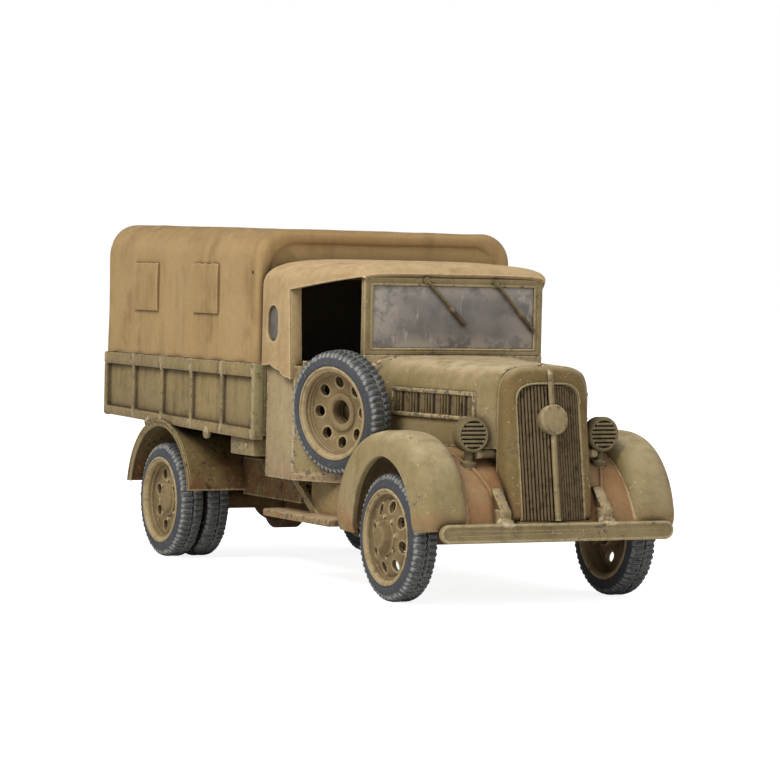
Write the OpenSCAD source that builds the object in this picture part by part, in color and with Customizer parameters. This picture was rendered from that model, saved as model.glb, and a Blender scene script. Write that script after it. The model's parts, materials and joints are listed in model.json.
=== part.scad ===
// Painted collector's model of a 1930s military cargo truck with a canvas cover.
// Millimetres at the model's own size. The front faces -Y, +X is the truck's left side
// and the ground is Z = 0. Everything is drawn from the front axle and then moved back,
// so that the origin lies under the middle of the truck.

/* [Overall] */
// Distance from the front axle to the rear axle
wheelbase = 65.3; // [60:0.1:80]
// Rear end of the load bed behind the rear axle
rear_overhang = 21.6; // [19:0.1:26]
// Front edge of the cab behind the front axle
cab_front = 15.2; // [14:0.1:18]
// Length of the cab, from the windscreen to its rear wall
cab_len = 18.3; // [17:0.1:22]
// Gap between the cab and the load bed
cab_bed_gap = 1.1; // [0.6:0.1:3]

/* [Wheels] */
// Outer radius of every tyre
tyre_r = 8; // [6.6:0.1:9.6]
// Width of every tyre
tyre_w = 3.6; // [3:0.1:4.4]
// Radius of the rim flange, where the tyre meets the wheel
rim_r = 6; // [5:0.1:6.6]
// Distance between the middles of the front tyres
front_track = 31.2; // [29.5:0.1:34]
// Gap between the two tyres of a rear pair
twin_gap = 0.4; // [0.2:0.1:1]
// Radius of the pins that the wheels turn on
pin_r = 0.96; // [0.7:0.02:1.2]
// Radial clearance of a wheel on its pin
pin_play = 0.06; // [0.03:0.01:0.1]
// Radius of the round holes in the wheel discs
disc_hole_r = 0.74; // [0.4:0.02:0.8]

/* [Chassis] */
// Height of the frame rails
rail_h = 3; // [2:0.1:4]
// Width of a frame rail
rail_w = 1.4; // [1:0.1:2]
// Distance between the middles of the frame rails
rail_spread = 14.4; // [13.6:0.1:16]
// Underside of the rails above the axles
rail_rise = 3.6; // [3:0.1:5]
// Radius of the round housing in the middle of the rear axle
diff_r = 4.3; // [3:0.1:5]
// Radius of the hole in the rear towing eye
tow_hole_r = 0.8; // [0.6:0.05:1]

/* [Load bed] */
// Width of the load bed over its side rails
bed_w = 39.1; // [34:0.1:47]
// Height of the bed's sides with the floor
bed_h = 9.7; // [8:0.1:12]
// Height of the cross bearers between the frame and the bed
bearer_h = 4; // [3:0.1:6]
// Thickness of the bed's floor, boards and tailgate
board_t = 0.8; // [0.6:0.05:1.2]
// How far ribs and rails stand out from the boards
rib_t = 0.7; // [0.4:0.05:1]

/* [Canvas] */
// Height of the cover above the bed's sides
tilt_h = 17.9; // [14:0.1:22]
// How far the cover lies inside the bed's outer face on each side
tilt_inset = 0.35; // [0.2:0.05:1]
// Thickness of the moulded canvas
canvas_t = 0.8; // [0.6:0.05:1.2]
// Radius of the cover's long upper edges
tilt_corner = 4.2; // [3:0.1:6]
// How much the cover's top climbs from its front to its rear
tilt_rise = 0.8; // [0:0.1:2]
// Height of the cab's canvas roof above the windscreen's top
roof_rise = 1.8; // [1.2:0.1:3]
// How much the cab's roof climbs from its front to its rear
roof_climb = 0.5; // [0:0.1:1.5]

/* [Cab] */
// Width of the cab at its rear
cab_w = 36.2; // [34:0.1:38]
// Width of the windscreen frame and of the cab at its front
screen_w = 26.3; // [25:0.1:29]
// Thickness of the cab's walls
cab_wall = 0.9; // [0.7:0.05:1.2]
// Top of the doors above the frame
door_top_rise = 13.7; // [12:0.1:15]
// Underside of the cab below the top of the frame
cab_drop = 1.2; // [0.5:0.1:2]
// Height of the windscreen frame
screen_h = 10; // [8:0.1:12]

/* [Front] */
// Half width of the bonnet at its front
bonnet_front_hw = 7.6; // [7.2:0.1:8.4]
// Half width of the bonnet where it starts to flare into the cab
bonnet_rear_hw = 10; // [9:0.1:11]
// Top of the bonnet above the frame
bonnet_rise = 15.5; // [14:0.1:17]
// Half width of the radiator shell
shell_hw = 6; // [5.5:0.1:6.2]
// Half width of the radiator grille
grille_hw = 4.3; // [3.8:0.1:4.6]
// Backward lean of the radiator
rake = 8.6; // [6:0.1:10]
// Distance from the truck's middle to each headlamp
lamp_x = 9.3; // [8.8:0.1:10]
// Radius of the headlamps
lamp_r = 2.2; // [1.8:0.05:2.6]
// Length of the bumper
bumper_len = 32.9; // [30:0.1:36]
// Height of the bumper
bumper_h = 2.3; // [1.6:0.1:3]
// Width over the front fenders
fender_w = 36.4; // [35.9:0.1:38]

/* [Hidden] */
$fn = 48;
slim = 0.02;              // depth by which a cut passes a face
seat_gap = 0.05;          // gap between a tyre and its rim
side_gap = 0.35;          // gap beside a turning tyre

// Heights
axle_z = tyre_r;
rail_z = axle_z + rail_rise;
rail_top = rail_z + rail_h;
bed_z = rail_top + bearer_h;
bed_top = bed_z + bed_h;
tilt_top = bed_top + tilt_h;
cab_z = rail_top - cab_drop;
door_top = rail_top + door_top_rise;
bonnet_top = rail_top + bonnet_rise;
screen_z = bonnet_top;
screen_top = screen_z + screen_h;
roof_top = screen_top + roof_rise;

// Lengthwise places
cab_rear = cab_front + cab_len;
bed_front = cab_rear + cab_bed_gap;
bed_rear = wheelbase + rear_overhang;
bed_len = bed_rear - bed_front;
fender_front_a = tyre_r + 4;
fender_rear_a = tyre_r + 6.7;
fender_b = tyre_r + 5.2;
bumper_t = 0.8;
bumper_back = -(fender_front_a + 0.3);
bumper_z = axle_z + 0.2;
tow_len = 1.4;
tow_eye_r = tow_hole_r + 0.9;
rail_end = bed_rear - 1;
front_y = bumper_back - bumper_t;
rear_y = rail_end + tow_len + tow_eye_r;
mid_y = (front_y + rear_y) / 2;
door_rear = cab_front + 0.56 * cab_len;

// Wheel places
front_x = front_track / 2;
rear_outer_x = bed_w / 2 - tyre_w / 2;
rear_inner_x = rear_outer_x - tyre_w - twin_gap;
bore_r = pin_r + pin_play;
pin_gap = 0.3;            // between a pin's shoulder or end and the wheel

// Spare wheel: outside face centre, turn towards the front and lean
spare_turn = 17;
spare_lean = 5;
spare_z = rail_top - 0.1 + tyre_r;
spare_x = -(screen_w / 2 + tyre_w + 0.25);
spare_y = cab_front + 9.2 - tyre_r;

// Fenders
fender_t = 0.6;
fender_out = fender_w / 2;
fender_in = fender_out - 6.8;
fender_mid = (fender_out + fender_in) / 2;
fender_half = (fender_out - fender_in) / 2;
apron_r = fender_front_a - 0.8;
apron_in = 5.4;
rear_fender_t = 0.7;
rear_fender_r = tyre_r + 3.3;
rear_fender_x = bed_w / 2 + 0.4;
rear_fender_in = rear_inner_x - tyre_w / 2 - side_gap - 1.2;

// Bed and cover
runner_top = bed_z - 0.9;
bearer_half = bed_w / 2 - 6.2;
tilt_hw = bed_w / 2 - tilt_inset;
rib_n = 6;
rib_w = 1.1;
rail_band = 1.9;
panel_y = [for (i = [0:rib_n - 1]) bed_front + rib_w / 2 + i * (bed_len - rib_w) / (rib_n - 1)];

// Headlamps and bonnet
lamp_y = bumper_back + 4.9;
lamp_z = rail_top + 6.4;
bonnet_front = bumper_back + 5;
bonnet_low = axle_z + apron_r + 0.05;
louvre_z = rail_top + 8.2;
louvre_h = 3.1;
louvre_front = bonnet_front + 2.3;
louvre_rear = cab_front - 2.4;
louvre_turn = atan((bonnet_rear_hw - bonnet_front_hw) / (cab_front - 2 - bonnet_front));

// ---------- helpers ----------

// Closed solid through rings of points, all with the same number of points
module loft(rings) {
    n = len(rings[0]);
    m = len(rings);
    sides = [for (i = [0:m - 2]) for (j = [0:n - 1]) let (k = (j + 1) % n)
        [i * n + j, i * n + k, (i + 1) * n + k, (i + 1) * n + j]];
    caps = [[for (j = [n - 1:-1:0]) j], [for (j = [0:n - 1]) (m - 1) * n + j]];
    polyhedron([for (r = rings) for (p = r) p], concat(sides, caps), convexity = 8);
}

// Moves drawing from the front axle to the shared frame
module placed() {
    translate([0, -mid_y, 0]) children();
}

// The same thing on the truck's left (+X) or mirrored to its right
module on_side(side) {
    if (side > 0) children();
    else mirror([1, 0, 0]) children();
}

// Box from its lowest corner to its highest corner
module block(low, high) {
    translate(low) cube(high - low);
}

// Round bar along X
module bar_x(r, x0, x1, y, z) {
    translate([x0, y, z]) rotate([0, 90, 0]) cylinder(r = r, h = x1 - x0);
}

function power(v, e) = sign(v) * pow(abs(v), e);

// ---------- wheels ----------

// Tyre round X with rounded shoulders, standing on its rim
module tyre() {
    shoulder = 1.1;
    inner = rim_r - 0.5 + seat_gap;
    rotate([0, 90, 0]) rotate_extrude($fn = 96) {
        translate([inner, -tyre_w / 2 + 0.35]) square([tyre_r - shoulder - inner, tyre_w - 0.7]);
        translate([rim_r + seat_gap, -tyre_w / 2])
            square([tyre_r - shoulder - rim_r - seat_gap, tyre_w]);
        translate([tyre_r - shoulder - slim, -tyre_w / 2 + shoulder])
            square([shoulder + slim, tyre_w - 2 * shoulder]);
        for (s = [-1, 1]) translate([tyre_r - shoulder, s * (tyre_w / 2 - shoulder)])
            circle(r = shoulder, $fn = 32);
    }
}

// Pressed wheel round X: rim, dished disc with eight holes and a hub.
// dish is the disc's place from the tyre's middle, hub_out the hub's outer end.
module wheel_disc(dish, hub_in, hub_out, hub_r) {
    well = rim_r - 0.5;
    difference() {
        rotate([0, 90, 0]) {
            rotate_extrude($fn = 96) {
                translate([well - 0.6, -tyre_w / 2 + 0.3]) square([0.6, tyre_w - 0.6]);
                for (s = [-1, 1]) translate([well - 0.6, s * (tyre_w / 2 - 0.15) - 0.15])
                    square([rim_r - well + 0.6, 0.3]);
            }
            translate([0, 0, dish - 0.35]) cylinder(r = well - 0.3, h = 0.7, $fn = 96);
            translate([0, 0, hub_in]) cylinder(r = hub_r, h = hub_out - hub_in);
        }
        for (i = [0:7]) rotate([i * 45 + 22.5, 0, 0])
            translate([dish - 1, 3.9 * rim_r / 6, 0]) rotate([0, 90, 0])
                cylinder(r = disc_hole_r, h = 2, $fn = 24);
    }
}

// Bore of a wheel round X, open towards the truck's middle
module wheel_bore(from, to) {
    translate([from, 0, 0]) rotate([0, 90, 0]) cylinder(r = bore_r, h = to - from);
}

module front_tyre(side) {
    color("#4b5058") on_side(side) placed() translate([front_x, 0, axle_z]) tyre();
}

module front_wheel(side) {
    hub_in = -tyre_w / 2 + 0.2;
    color("#94805a") on_side(side) placed() translate([front_x, 0, axle_z]) difference() {
        wheel_disc(tyre_w / 2 - 0.75, hub_in, tyre_w / 2 + 1.1, 1.75);
        wheel_bore(hub_in - slim, tyre_w / 2 - 0.6);
    }
}

module rear_tyres(side) {
    color("#4b5058") on_side(side) placed() for (x = [rear_inner_x, rear_outer_x])
        translate([x, wheelbase, axle_z]) tyre();
}

// Both rims of a rear pair with the drum that joins them
module rear_wheels(side) {
    hub_in = rear_inner_x - tyre_w / 2 + 0.2;
    hub_out = rear_outer_x + tyre_w / 2 - 0.7;
    color("#94805a") on_side(side) placed() translate([0, wheelbase, axle_z]) difference() {
        union() {
            translate([rear_inner_x, 0, 0])
                wheel_disc(tyre_w / 2 - 0.75, -tyre_w / 2 + 0.2, tyre_w / 2, 2);
            translate([rear_outer_x, 0, 0])
                wheel_disc(tyre_w / 2 - 1.9, -tyre_w / 2 - twin_gap - slim, tyre_w / 2 - 0.7, 2);
        }
        wheel_bore(hub_in - slim, hub_out - 0.8);
    }
}

// ---------- chassis ----------

// Both rails with the horns that carry the bumper, grown by gap
module rails(gap) {
    for (s = [-1, 1]) let (x0 = s * rail_spread / 2 - rail_w / 2 - gap, x1 = x0 + rail_w + 2 * gap) {
        block([x0, bumper_back, rail_z - gap], [x1, rail_end, rail_top + gap]);
        block([x0, bumper_back, bumper_z + 0.4], [x1, bumper_back + 2 + gap, rail_z]);
    }
}

module frame_rails() {
    color("#6b5a3a") placed() difference() {
        rails(0);
        for (s = [-1, 1]) translate([s * rail_spread / 2, bumper_back, rail_top])
            rotate([45, 0, 0]) cube([rail_w + 1, 3.8, 3.8], center = true);
    }
}

// Cross members between the rails, the last one with the towing eye
module cross_members() {
    rail_in = rail_spread / 2 - rail_w / 2;
    t = 1.4;
    color("#6b5a3a") placed() {
        for (y = [cab_front - 6, cab_rear - 2, wheelbase - 14, wheelbase + 14])
            block([-rail_in, y, rail_z + 0.4], [rail_in, y + t, rail_top - 0.3]);
        difference() {
            union() {
                block([-rail_in, rail_end - t, rail_z + 0.4], [rail_in, rail_end, rail_top - 0.3]);
                block([-tow_eye_r, rail_end - slim, rail_z + 0.7],
                    [tow_eye_r, rail_end + tow_len, rail_z + 1.7]);
                translate([0, rail_end + tow_len, rail_z + 0.7]) cylinder(r = tow_eye_r, h = 1);
            }
            translate([0, rail_end + tow_len, rail_z]) cylinder(r = tow_hole_r, h = 3);
        }
    }
}

// Beam between the front wheels with a pin at each end
module front_axle() {
    beam = front_x - tyre_w / 2 - pin_gap;
    color("#5e5236") placed() translate([0, 0, axle_z]) {
        difference() {
            translate([-beam, -0.8, -1]) cube([2 * beam, 1.6, 2]);
            for (s = [-1, 1]) translate([-beam + 2.5, s * 0.8 - 0.35, -0.45])
                cube([2 * beam - 5, 0.7, 0.9]);
        }
        bar_x(pin_r, -front_x - tyre_w / 2 + 0.9, front_x + tyre_w / 2 - 0.9, 0, 0);
        for (s = [-1, 1]) bar_x(1.5, s * (beam - 0.6) - 0.6, s * (beam - 0.6) + 0.6, 0, 0);
    }
}

// Tube with the round differential housing and a pin at each end
module rear_axle() {
    tube = rear_inner_x - tyre_w / 2 - pin_gap;
    color("#5e5236") placed() translate([0, wheelbase, axle_z]) {
        bar_x(1.4, -tube, tube, 0, 0);
        bar_x(pin_r, -rear_outer_x - tyre_w / 2 + 1.7, rear_outer_x + tyre_w / 2 - 1.7, 0, 0);
        rotate([0, 90, 0]) rotate_extrude() difference() {
            union() {
                translate([0, -1.6]) square([diff_r, 3.2]);
                for (s = [-1, 1]) translate([0, s * 1.6]) circle(r = diff_r - 1.1);
            }
            translate([-diff_r, -diff_r - 1]) square([diff_r, 2 * diff_r + 2]);
        }
        rotate([84, 0, 0]) cylinder(r1 = 1.8, r2 = 1.1, h = diff_r + 2.4);
    }
}

// One arched pack of leaves: span along Y, sag at its middle
module leaf_pack(x, y, span, z_mid, z_end) {
    n = 12;
    w = 1.3;
    t = 0.45;
    low = [for (i = [0:n]) let (u = 2 * i / n - 1) [y + u * span / 2, z_mid + (z_end - z_mid) * u * u]];
    high = [for (i = [n:-1:0]) [low[i][0], low[i][1] + t]];
    short = [for (i = [3:n - 3]) [low[i][0], low[i][1] - t]];
    short_high = [for (i = [n - 3:-1:3]) [low[i][0], low[i][1] + slim]];
    translate([x - w / 2, 0, 0]) rotate([90, 0, 90]) linear_extrude(w) {
        polygon(concat(low, high));
        polygon(concat(short, short_high));
    }
}

module leaf_springs() {
    end_z = rail_z - 0.45 - slim;
    color("#4f452e") placed() for (s = [-1, 1]) {
        leaf_pack(s * rail_spread / 2, 0, 17, axle_z + 1.5, end_z);
        leaf_pack(s * rail_spread / 2, wheelbase, 23, axle_z + 1.9, end_z);
    }
}

// Gearbox with the shaft that runs back to the rear axle
module prop_shaft() {
    start = [0, cab_front + 8, rail_z - 0.6];
    end = [0, wheelbase - diff_r - 2.6, axle_z + 0.7];
    len = norm(end - start);
    color("#5e5236") placed() {
        difference() {
            block([-2.6, cab_front - 4, rail_z - 1.8], [2.6, cab_front + 8, rail_top - 0.4]);
            block([-4, cab_front + 4, rail_z + 0.6], [4, cab_front + 9, rail_top]);
        }
        translate(start) rotate([-90 - asin((start[2] - end[2]) / len), 0, 0]) {
            cylinder(r = 0.6, h = len);
            cylinder(r = 1.1, h = 1.2);
            translate([0, 0, len - 1]) cylinder(r = 1.1, h = 1);
        }
    }
}

// ---------- front ----------

// Flat bar with round ends and the blocks that hold it
module bumper() {
    half = bumper_len / 2;
    round_r = bumper_h / 2;
    color("#8a7a52") placed() {
        translate([0, bumper_back, bumper_z]) rotate([90, 0, 0]) linear_extrude(bumper_t) {
            translate([-half + round_r, 0]) square([2 * half - 2 * round_r, bumper_h]);
            for (s = [-1, 1]) translate([s * (half - round_r), round_r]) circle(r = round_r);
        }
        for (s = [-1, 1]) translate([s * (rail_spread / 2), bumper_back, bumper_z + bumper_h])
            translate([-0.8, -bumper_t, -slim]) cube([1.6, bumper_t, 0.35]);
    }
}

// Plan of the radiator: a shallow V that stands out by nose in front of its edges
module v_plan(hw, back, nose) {
    polygon([[-hw, back], [-hw, 0], [-0.5, -nose], [0.5, -nose], [hw, 0], [hw, back]]);
}

// Front outline: upright sides with a rounded top
module arch_front(hw, low, high, corner) {
    top = [for (a = [0:10:180]) [hw * power(cos(a), 0.5), high - corner + corner * power(sin(a), 0.75)]];
    polygon(concat([[-hw, low], [hw, low]], top));
}

shell_low = bumper_z + bumper_h + 0.1;
shell_top = bonnet_top - 0.6;
grille_low = shell_low;
grille_top = shell_top - 2.2;
shell_edge = bumper_back + 3.75;    // front edge of the shell at the grille's top
shell_nose = 1.3;

// Draws along the leaning radiator: the plan is swept up the rake
module raked(extra) {
    translate([0, shell_edge - extra, grille_top]) rotate([-rake, 0, 0]) translate([0, 0, -25])
        linear_extrude(32) children();
}

module shell_solid() {
    intersection() {
        raked(0) v_plan(shell_hw, 14, shell_nose);
        translate([0, bonnet_front, 0]) rotate([90, 0, 0]) linear_extrude(12)
            arch_front(shell_hw, shell_low, shell_top, 4.2);
    }
}

module grille_space(hw, top, grow) {
    intersection() {
        raked(grow) v_plan(hw + 1, 1 - grow, shell_nose + 0.1);
        translate([0, bonnet_front + 1, 0]) rotate([90, 0, 0]) linear_extrude(14)
            arch_front(hw, grille_low - 1, top, 2.4);
    }
}

module radiator_shell() {
    color("#8c7d55") placed() difference() {
        shell_solid();
        translate([0, -1, 0]) grille_space(grille_hw, grille_top, 0);
        grille_space(grille_hw, grille_top, 0);
    }
}

// Upright bars on a V-shaped backing, with a heavier middle bar
module radiator_grille() {
    gap = 0.03;
    bars = 7;
    pitch = (grille_hw - 0.7) / bars;
    color("#4a3b2c") placed() difference() {
        intersection() {
            union() {
                raked(-0.35) v_plan(grille_hw + 1, 0.6, shell_nose);
                for (s = [-1, 1]) for (i = [0:bars - 1]) let (x = 0.75 + (i + 0.35) * pitch)
                    raked(0) translate([s * x, -shell_nose * (1 - x / (grille_hw + 1))])
                        square([pitch * 0.5, 0.8], center = true);
                raked(0.1) translate([-0.42, -shell_nose - 0.05]) square([0.84, 1]);
            }
            translate([0, bonnet_front + 1, 0]) rotate([90, 0, 0]) linear_extrude(14)
                arch_front(grille_hw - gap, grille_low, grille_top - gap, 2.4);
        }
        badge_space(0.03);
    }
}

badge_r = 1.9;
badge_z = shell_top - 6.5;
function rake_y(z) = shell_edge - (grille_top - z) * tan(rake);

module badge_space(grow) {
    translate([0, rake_y(badge_z) - shell_nose - 0.35, badge_z]) rotate([90 - rake, 0, 0])
        translate([0, 0, -0.7 - grow]) cylinder(r = badge_r + grow, h = 1.25 + grow);
}

module badge_disc() {
    color("#a08f62") placed() badge_space(0);
}

// Cross section of the bonnet at y: upright sides and a softly crowned top
function bonnet_hw(y) = let (t = (y - bonnet_front) / (cab_front - 2 - bonnet_front))
    t < 1 ? shell_hw + (bonnet_front_hw - shell_hw) * min(1, (y - bonnet_front) / 1.6)
        + (bonnet_rear_hw - bonnet_front_hw) * max(0, t)
    : bonnet_rear_hw + (screen_w / 2 - bonnet_rear_hw) * pow((y - cab_front + 2) / 2, 1.6);
function bonnet_ring(y) = let (hw = bonnet_hw(y), h = 4.4, n = 14,
        top = shell_top + (bonnet_top - shell_top) * (y - bonnet_front) / (cab_front - bonnet_front))
    concat([[hw, y, bonnet_low]],
        [for (i = [0:n]) let (a = 180 * i / n)
            [hw * power(cos(a), 0.42), y, top - h + h * power(sin(a), 0.62)]],
        [[-hw, y, bonnet_low]]);

module louvre_place(side) {
    mid = (louvre_front + louvre_rear) / 2;
    translate([side * (bonnet_hw(mid) + 0.02), mid, louvre_z + louvre_h / 2])
        rotate([0, 0, -side * louvre_turn]) scale([side, 1, 1]) children();
}

module bonnet() {
    stations = [bonnet_front, bonnet_front + 0.5, bonnet_front + 1.6, -2, 3, 8, cab_front - 2,
        cab_front - 1.5, cab_front - 1, cab_front - 0.5, cab_front];
    len = louvre_rear - louvre_front;
    color("#9a8a5e") placed() {
        difference() {
            loft([for (y = stations) bonnet_ring(y)]);
            for (s = [-1, 1]) louvre_place(s)
                translate([-0.5, -len / 2, -louvre_h / 2]) cube([1.5, len, louvre_h]);
            for (s = [-1, 1]) translate([s * lamp_x, lamp_y, lamp_z]) lamp_bowl(0.1);
        }
        block([-apron_in + 0.15, bonnet_front, rail_top], [apron_in - 0.15, cab_front, bonnet_low + slim]);
    }
}

// Plates with five groups of three upright bars between two rails
module louvre_panel() {
    len = louvre_rear - louvre_front;
    groups = 5;
    step = len / groups;
    translate([-0.5, -len / 2, -louvre_h / 2]) cube([0.3, len, louvre_h]);
    for (s = [-1, 1]) translate([-0.5, -len / 2, s * (louvre_h / 2 - 0.25) - 0.25])
        cube([0.75, len, 0.5]);
    for (g = [0:groups - 1]) for (b = [0:2])
        translate([-0.5, -len / 2 + g * step + 0.4 + b * 0.55, -louvre_h / 2]) cube([0.5, 0.28, louvre_h]);
}

module bonnet_louvres() {
    color("#8a7a52") placed() for (s = [-1, 1]) louvre_place(s) louvre_panel();
}

// Bowl of a headlamp round Y, its face at the front
module lamp_bowl(grow) {
    rotate([-90, 0, 0]) rotate_extrude() intersection() {
        union() {
            translate([0, -grow]) square([lamp_r + grow, 1.2 + grow]);
            translate([0, 1.2]) circle(r = lamp_r + grow);
        }
        translate([0, -grow]) square([lamp_r + 1, 2.9 + 2 * grow]);
    }
}

// Headlamp with its stalk and the stub beside the radiator
module headlamp(side) {
    foot_y = lamp_y + 1.2;
    foot_z = axle_z + sqrt(apron_r * apron_r - foot_y * foot_y) - 0.05;
    color("#6d6a4a") on_side(side) placed() {
        difference() {
            union() {
                translate([lamp_x, lamp_y, lamp_z]) lamp_bowl(0);
                translate([lamp_x, foot_y, foot_z]) {
                    cylinder(r = 0.55, h = lamp_z - lamp_r + 0.6 - foot_z);
                    cylinder(r = 0.9, h = 0.8);
                }
            }
            bar_x(apron_r + 0.02, 0, 20, 0, axle_z);
        }
        bar_x(0.55, apron_in, shell_hw + 2.6, lamp_y + 0.8, foot_z + 1.35);
    }
}

// ---------- fenders ----------

// Crown radius of the front fender at an angle round the axle, 0 to the rear
function crown(a) = let (e = 2.3, w = cos(a) < 0 ? fender_front_a : fender_rear_a)
    1 / pow(pow(abs(cos(a)) / w, e) + pow(sin(a) / fender_b, e), 1 / e);
function lip(a) = tyre_r + 0.75 + 1.3 * pow(max(0, sin(a)), 2) - (cos(a) > 0 ? 1.2 * cos(a) : 0);
function fender_ring(a) = let (r1 = crown(a), r0 = lip(a), n = 10, t = fender_t,
        outer = [for (i = [0:n]) let (u = 180 * i / n)
            [fender_mid + fender_half * power(cos(u), 0.55), r0 + (r1 - r0) * power(sin(u), 0.7)]],
        inner = [for (i = [n:-1:0]) let (u = 180 * i / n)
            [fender_mid + (fender_half - t) * power(cos(u), 0.55),
                r0 + (r1 - r0 - t) * power(sin(u), 0.7)]])
    [for (p = concat(outer, inner)) [p[0], p[1] * cos(a), axle_z + p[1] * sin(a)]];

module front_fender_shell() {
    loft([for (a = [172:-8.6:0]) fender_ring(a)]);
}

// Part of a ring round the front axle, from x0 to x1 and angle a0 to a1
module arch_band(x0, x1, r0, r1, a0, a1) {
    translate([x0, 0, axle_z]) rotate([90, 0, 90])
        rotate_extrude_sector(r0, r1, a0, a1, x1 - x0);
}

module rotate_extrude_sector(r0, r1, a0, a1, h) {
    rotate([0, 0, a0]) rotate_extrude(angle = a1 - a0, $fn = 48) translate([r0, 0]) square([r1 - r0, h]);
}

module spare_space(r, x0, x1) {
    translate([spare_x, spare_y, spare_z]) rotate([0, 0, spare_turn]) rotate([0, -spare_lean, 0])
        translate([x0, 0, 0]) rotate([0, 90, 0]) cylinder(r = r, h = x1 - x0, $fn = 96);
}

module front_fender(side) {
    color("#a39468") placed() difference() {
        on_side(side) {
            front_fender_shell();
            arch_band(apron_in, fender_in + 0.9, apron_r - 0.6, apron_r, 12, 168);
        }
        rails(0.12);
        block([-shell_hw - 0.1, front_y, 0], [shell_hw + 0.1, bonnet_front + 0.05, shell_top]);
        block([-rail_spread / 2, 0, 0], [rail_spread / 2, 20, rail_top + 0.1]);
        on_side(side) translate([lamp_x, lamp_y, lamp_z]) lamp_bowl(0.05);
        if (side < 0) spare_space(tyre_r + 0.2, -1, tyre_w + 1);
        translate([0, 0, cab_z - 0.1]) linear_extrude(door_top) cab_plan(-0.1);
    }
}

// Board under the door with its diagonal stay
module running_board(side) {
    board_z = axle_z + 0.1;
    board_out = fender_out - 0.3;
    board_in = board_out - 4.2;
    board_front = fender_rear_a + 0.2;
    board_rear = cab_rear + 2;
    stay_y = cab_rear - 0.8;
    color("#8a7a52") on_side(side) placed() {
        difference() {
            block([board_in, board_front, board_z], [board_out, board_rear, board_z + 0.9]);
            translate([board_out, board_rear, board_z]) rotate([0, 0, 45]) cube([1.4, 1.4, 4], center = true);
        }
        rotate([90, 0, 90]) translate([0, 0, board_in + 0.4]) linear_extrude(0.8)
            polygon([[stay_y, cab_z - 0.05], [stay_y - 1.6, cab_z - 0.05],
                [board_front + 9, board_z + 0.9 - slim], [board_front + 11.4, board_z + 0.9 - slim]]);
        block([board_in, board_front, board_z + 0.9 - slim], [board_in + 0.8, board_front + 12, cab_z - 0.1]);
        block([rail_spread / 2 + rail_w / 2 + 0.05, board_front + 3, board_z + 0.1],
            [board_in + slim, board_front + 4.2, board_z + 0.8]);
        block([rail_spread / 2 - rail_w / 2, board_front + 3, board_z + 0.1],
            [rail_spread / 2 + rail_w / 2 + 0.05 + slim, board_front + 4.2, rail_z - 0.02]);
    }
}

// Space that a rear fender may fill, from x0 outwards and up to z1
module fender_zone(x0, z1) {
    block([x0, wheelbase - rear_fender_r - 1, axle_z + 2], [30, wheelbase + rear_fender_r + 1, z1]);
}

// Arch over a rear pair with its broad front face and a splash plate running forward
module rear_fender(side) {
    arch = rear_fender_r;
    low = axle_z + 2;
    front = wheelbase - arch + 1.3;
    color("#94825a") on_side(side) placed() {
        intersection() {
            translate([rear_fender_in, wheelbase, axle_z]) rotate([90, 0, 90]) difference() {
                cylinder(r = arch, h = rear_fender_x - rear_fender_in, $fn = 96);
                translate([0, 0, -slim]) cylinder(r = arch - rear_fender_t, h = 40, $fn = 96);
            }
            union() {
                fender_zone(0, runner_top - 0.05);
                fender_zone(bearer_half + 0.1, bed_z - 0.05);
                fender_zone(bed_w / 2 + 0.05, bed_z + 2);
            }
        }
        block([rear_fender_in, cab_rear + 3.5, low - 0.6], [rear_fender_in + 0.8, front, rail_top]);
        block([rail_spread / 2 + rail_w / 2 + 0.02, cab_rear + 8, rail_z + 0.3],
            [rear_fender_in + slim, cab_rear + 9.4, rail_top - 0.3]);
    }
}

// ---------- cab ----------

// Plan outline of the cab, inset by t
module cab_plan(t) {
    f = screen_w / 2;
    r = cab_w / 2;
    polygon([[-f + t, cab_front + t], [f - t, cab_front + t], [r - t, door_rear + t * 0.3],
        [r - t, cab_rear - t], [-r + t, cab_rear - t], [-r + t, door_rear + t * 0.3]]);
}

module cab_walls(z0, z1) {
    translate([0, 0, z0]) linear_extrude(z1 - z0) difference() {
        cab_plan(0);
        cab_plan(cab_wall);
    }
}

// Both doors' places in the cab's walls
module door_zone(grow) {
    x = screen_w / 2 - 2.5;
    low = [cab_front + cab_wall + 0.5 - grow, cab_z + 1 - grow];
    high = [door_rear + grow, door_top + 5];
    block([x, low[0], low[1]], [30, high[0], high[1]]);
    block([-30, low[0], low[1]], [-x, high[0], high[1]]);
}

// Floor, cowl, rear wall and the fixed sides behind the doors
module cab_shell() {
    floor_z = rail_top + 0.02;
    floor_t = 0.8;
    color("#a39468") placed() {
        difference() {
            cab_walls(cab_z, door_top);
            door_zone(0.02);
            spare_space(tyre_r + 0.3, -1, tyre_w + 0.3);
            block([-9, 0, 0], [9, cab_rear + 1, floor_z]);
        }
        difference() {
            union() {
                translate([0, 0, floor_z]) linear_extrude(floor_t) cab_plan(cab_wall + 0.02);
                block([-8, cab_front + cab_wall - slim, floor_z],
                    [8, cab_rear - cab_wall + slim, floor_z + floor_t]);
            }
            spare_space(tyre_r + 1.4, -1, tyre_w + 1.4);
        }
        block([-screen_w / 2, cab_front, door_top - slim],
            [screen_w / 2, cab_front + cab_wall, screen_z]);
    }
}

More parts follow.
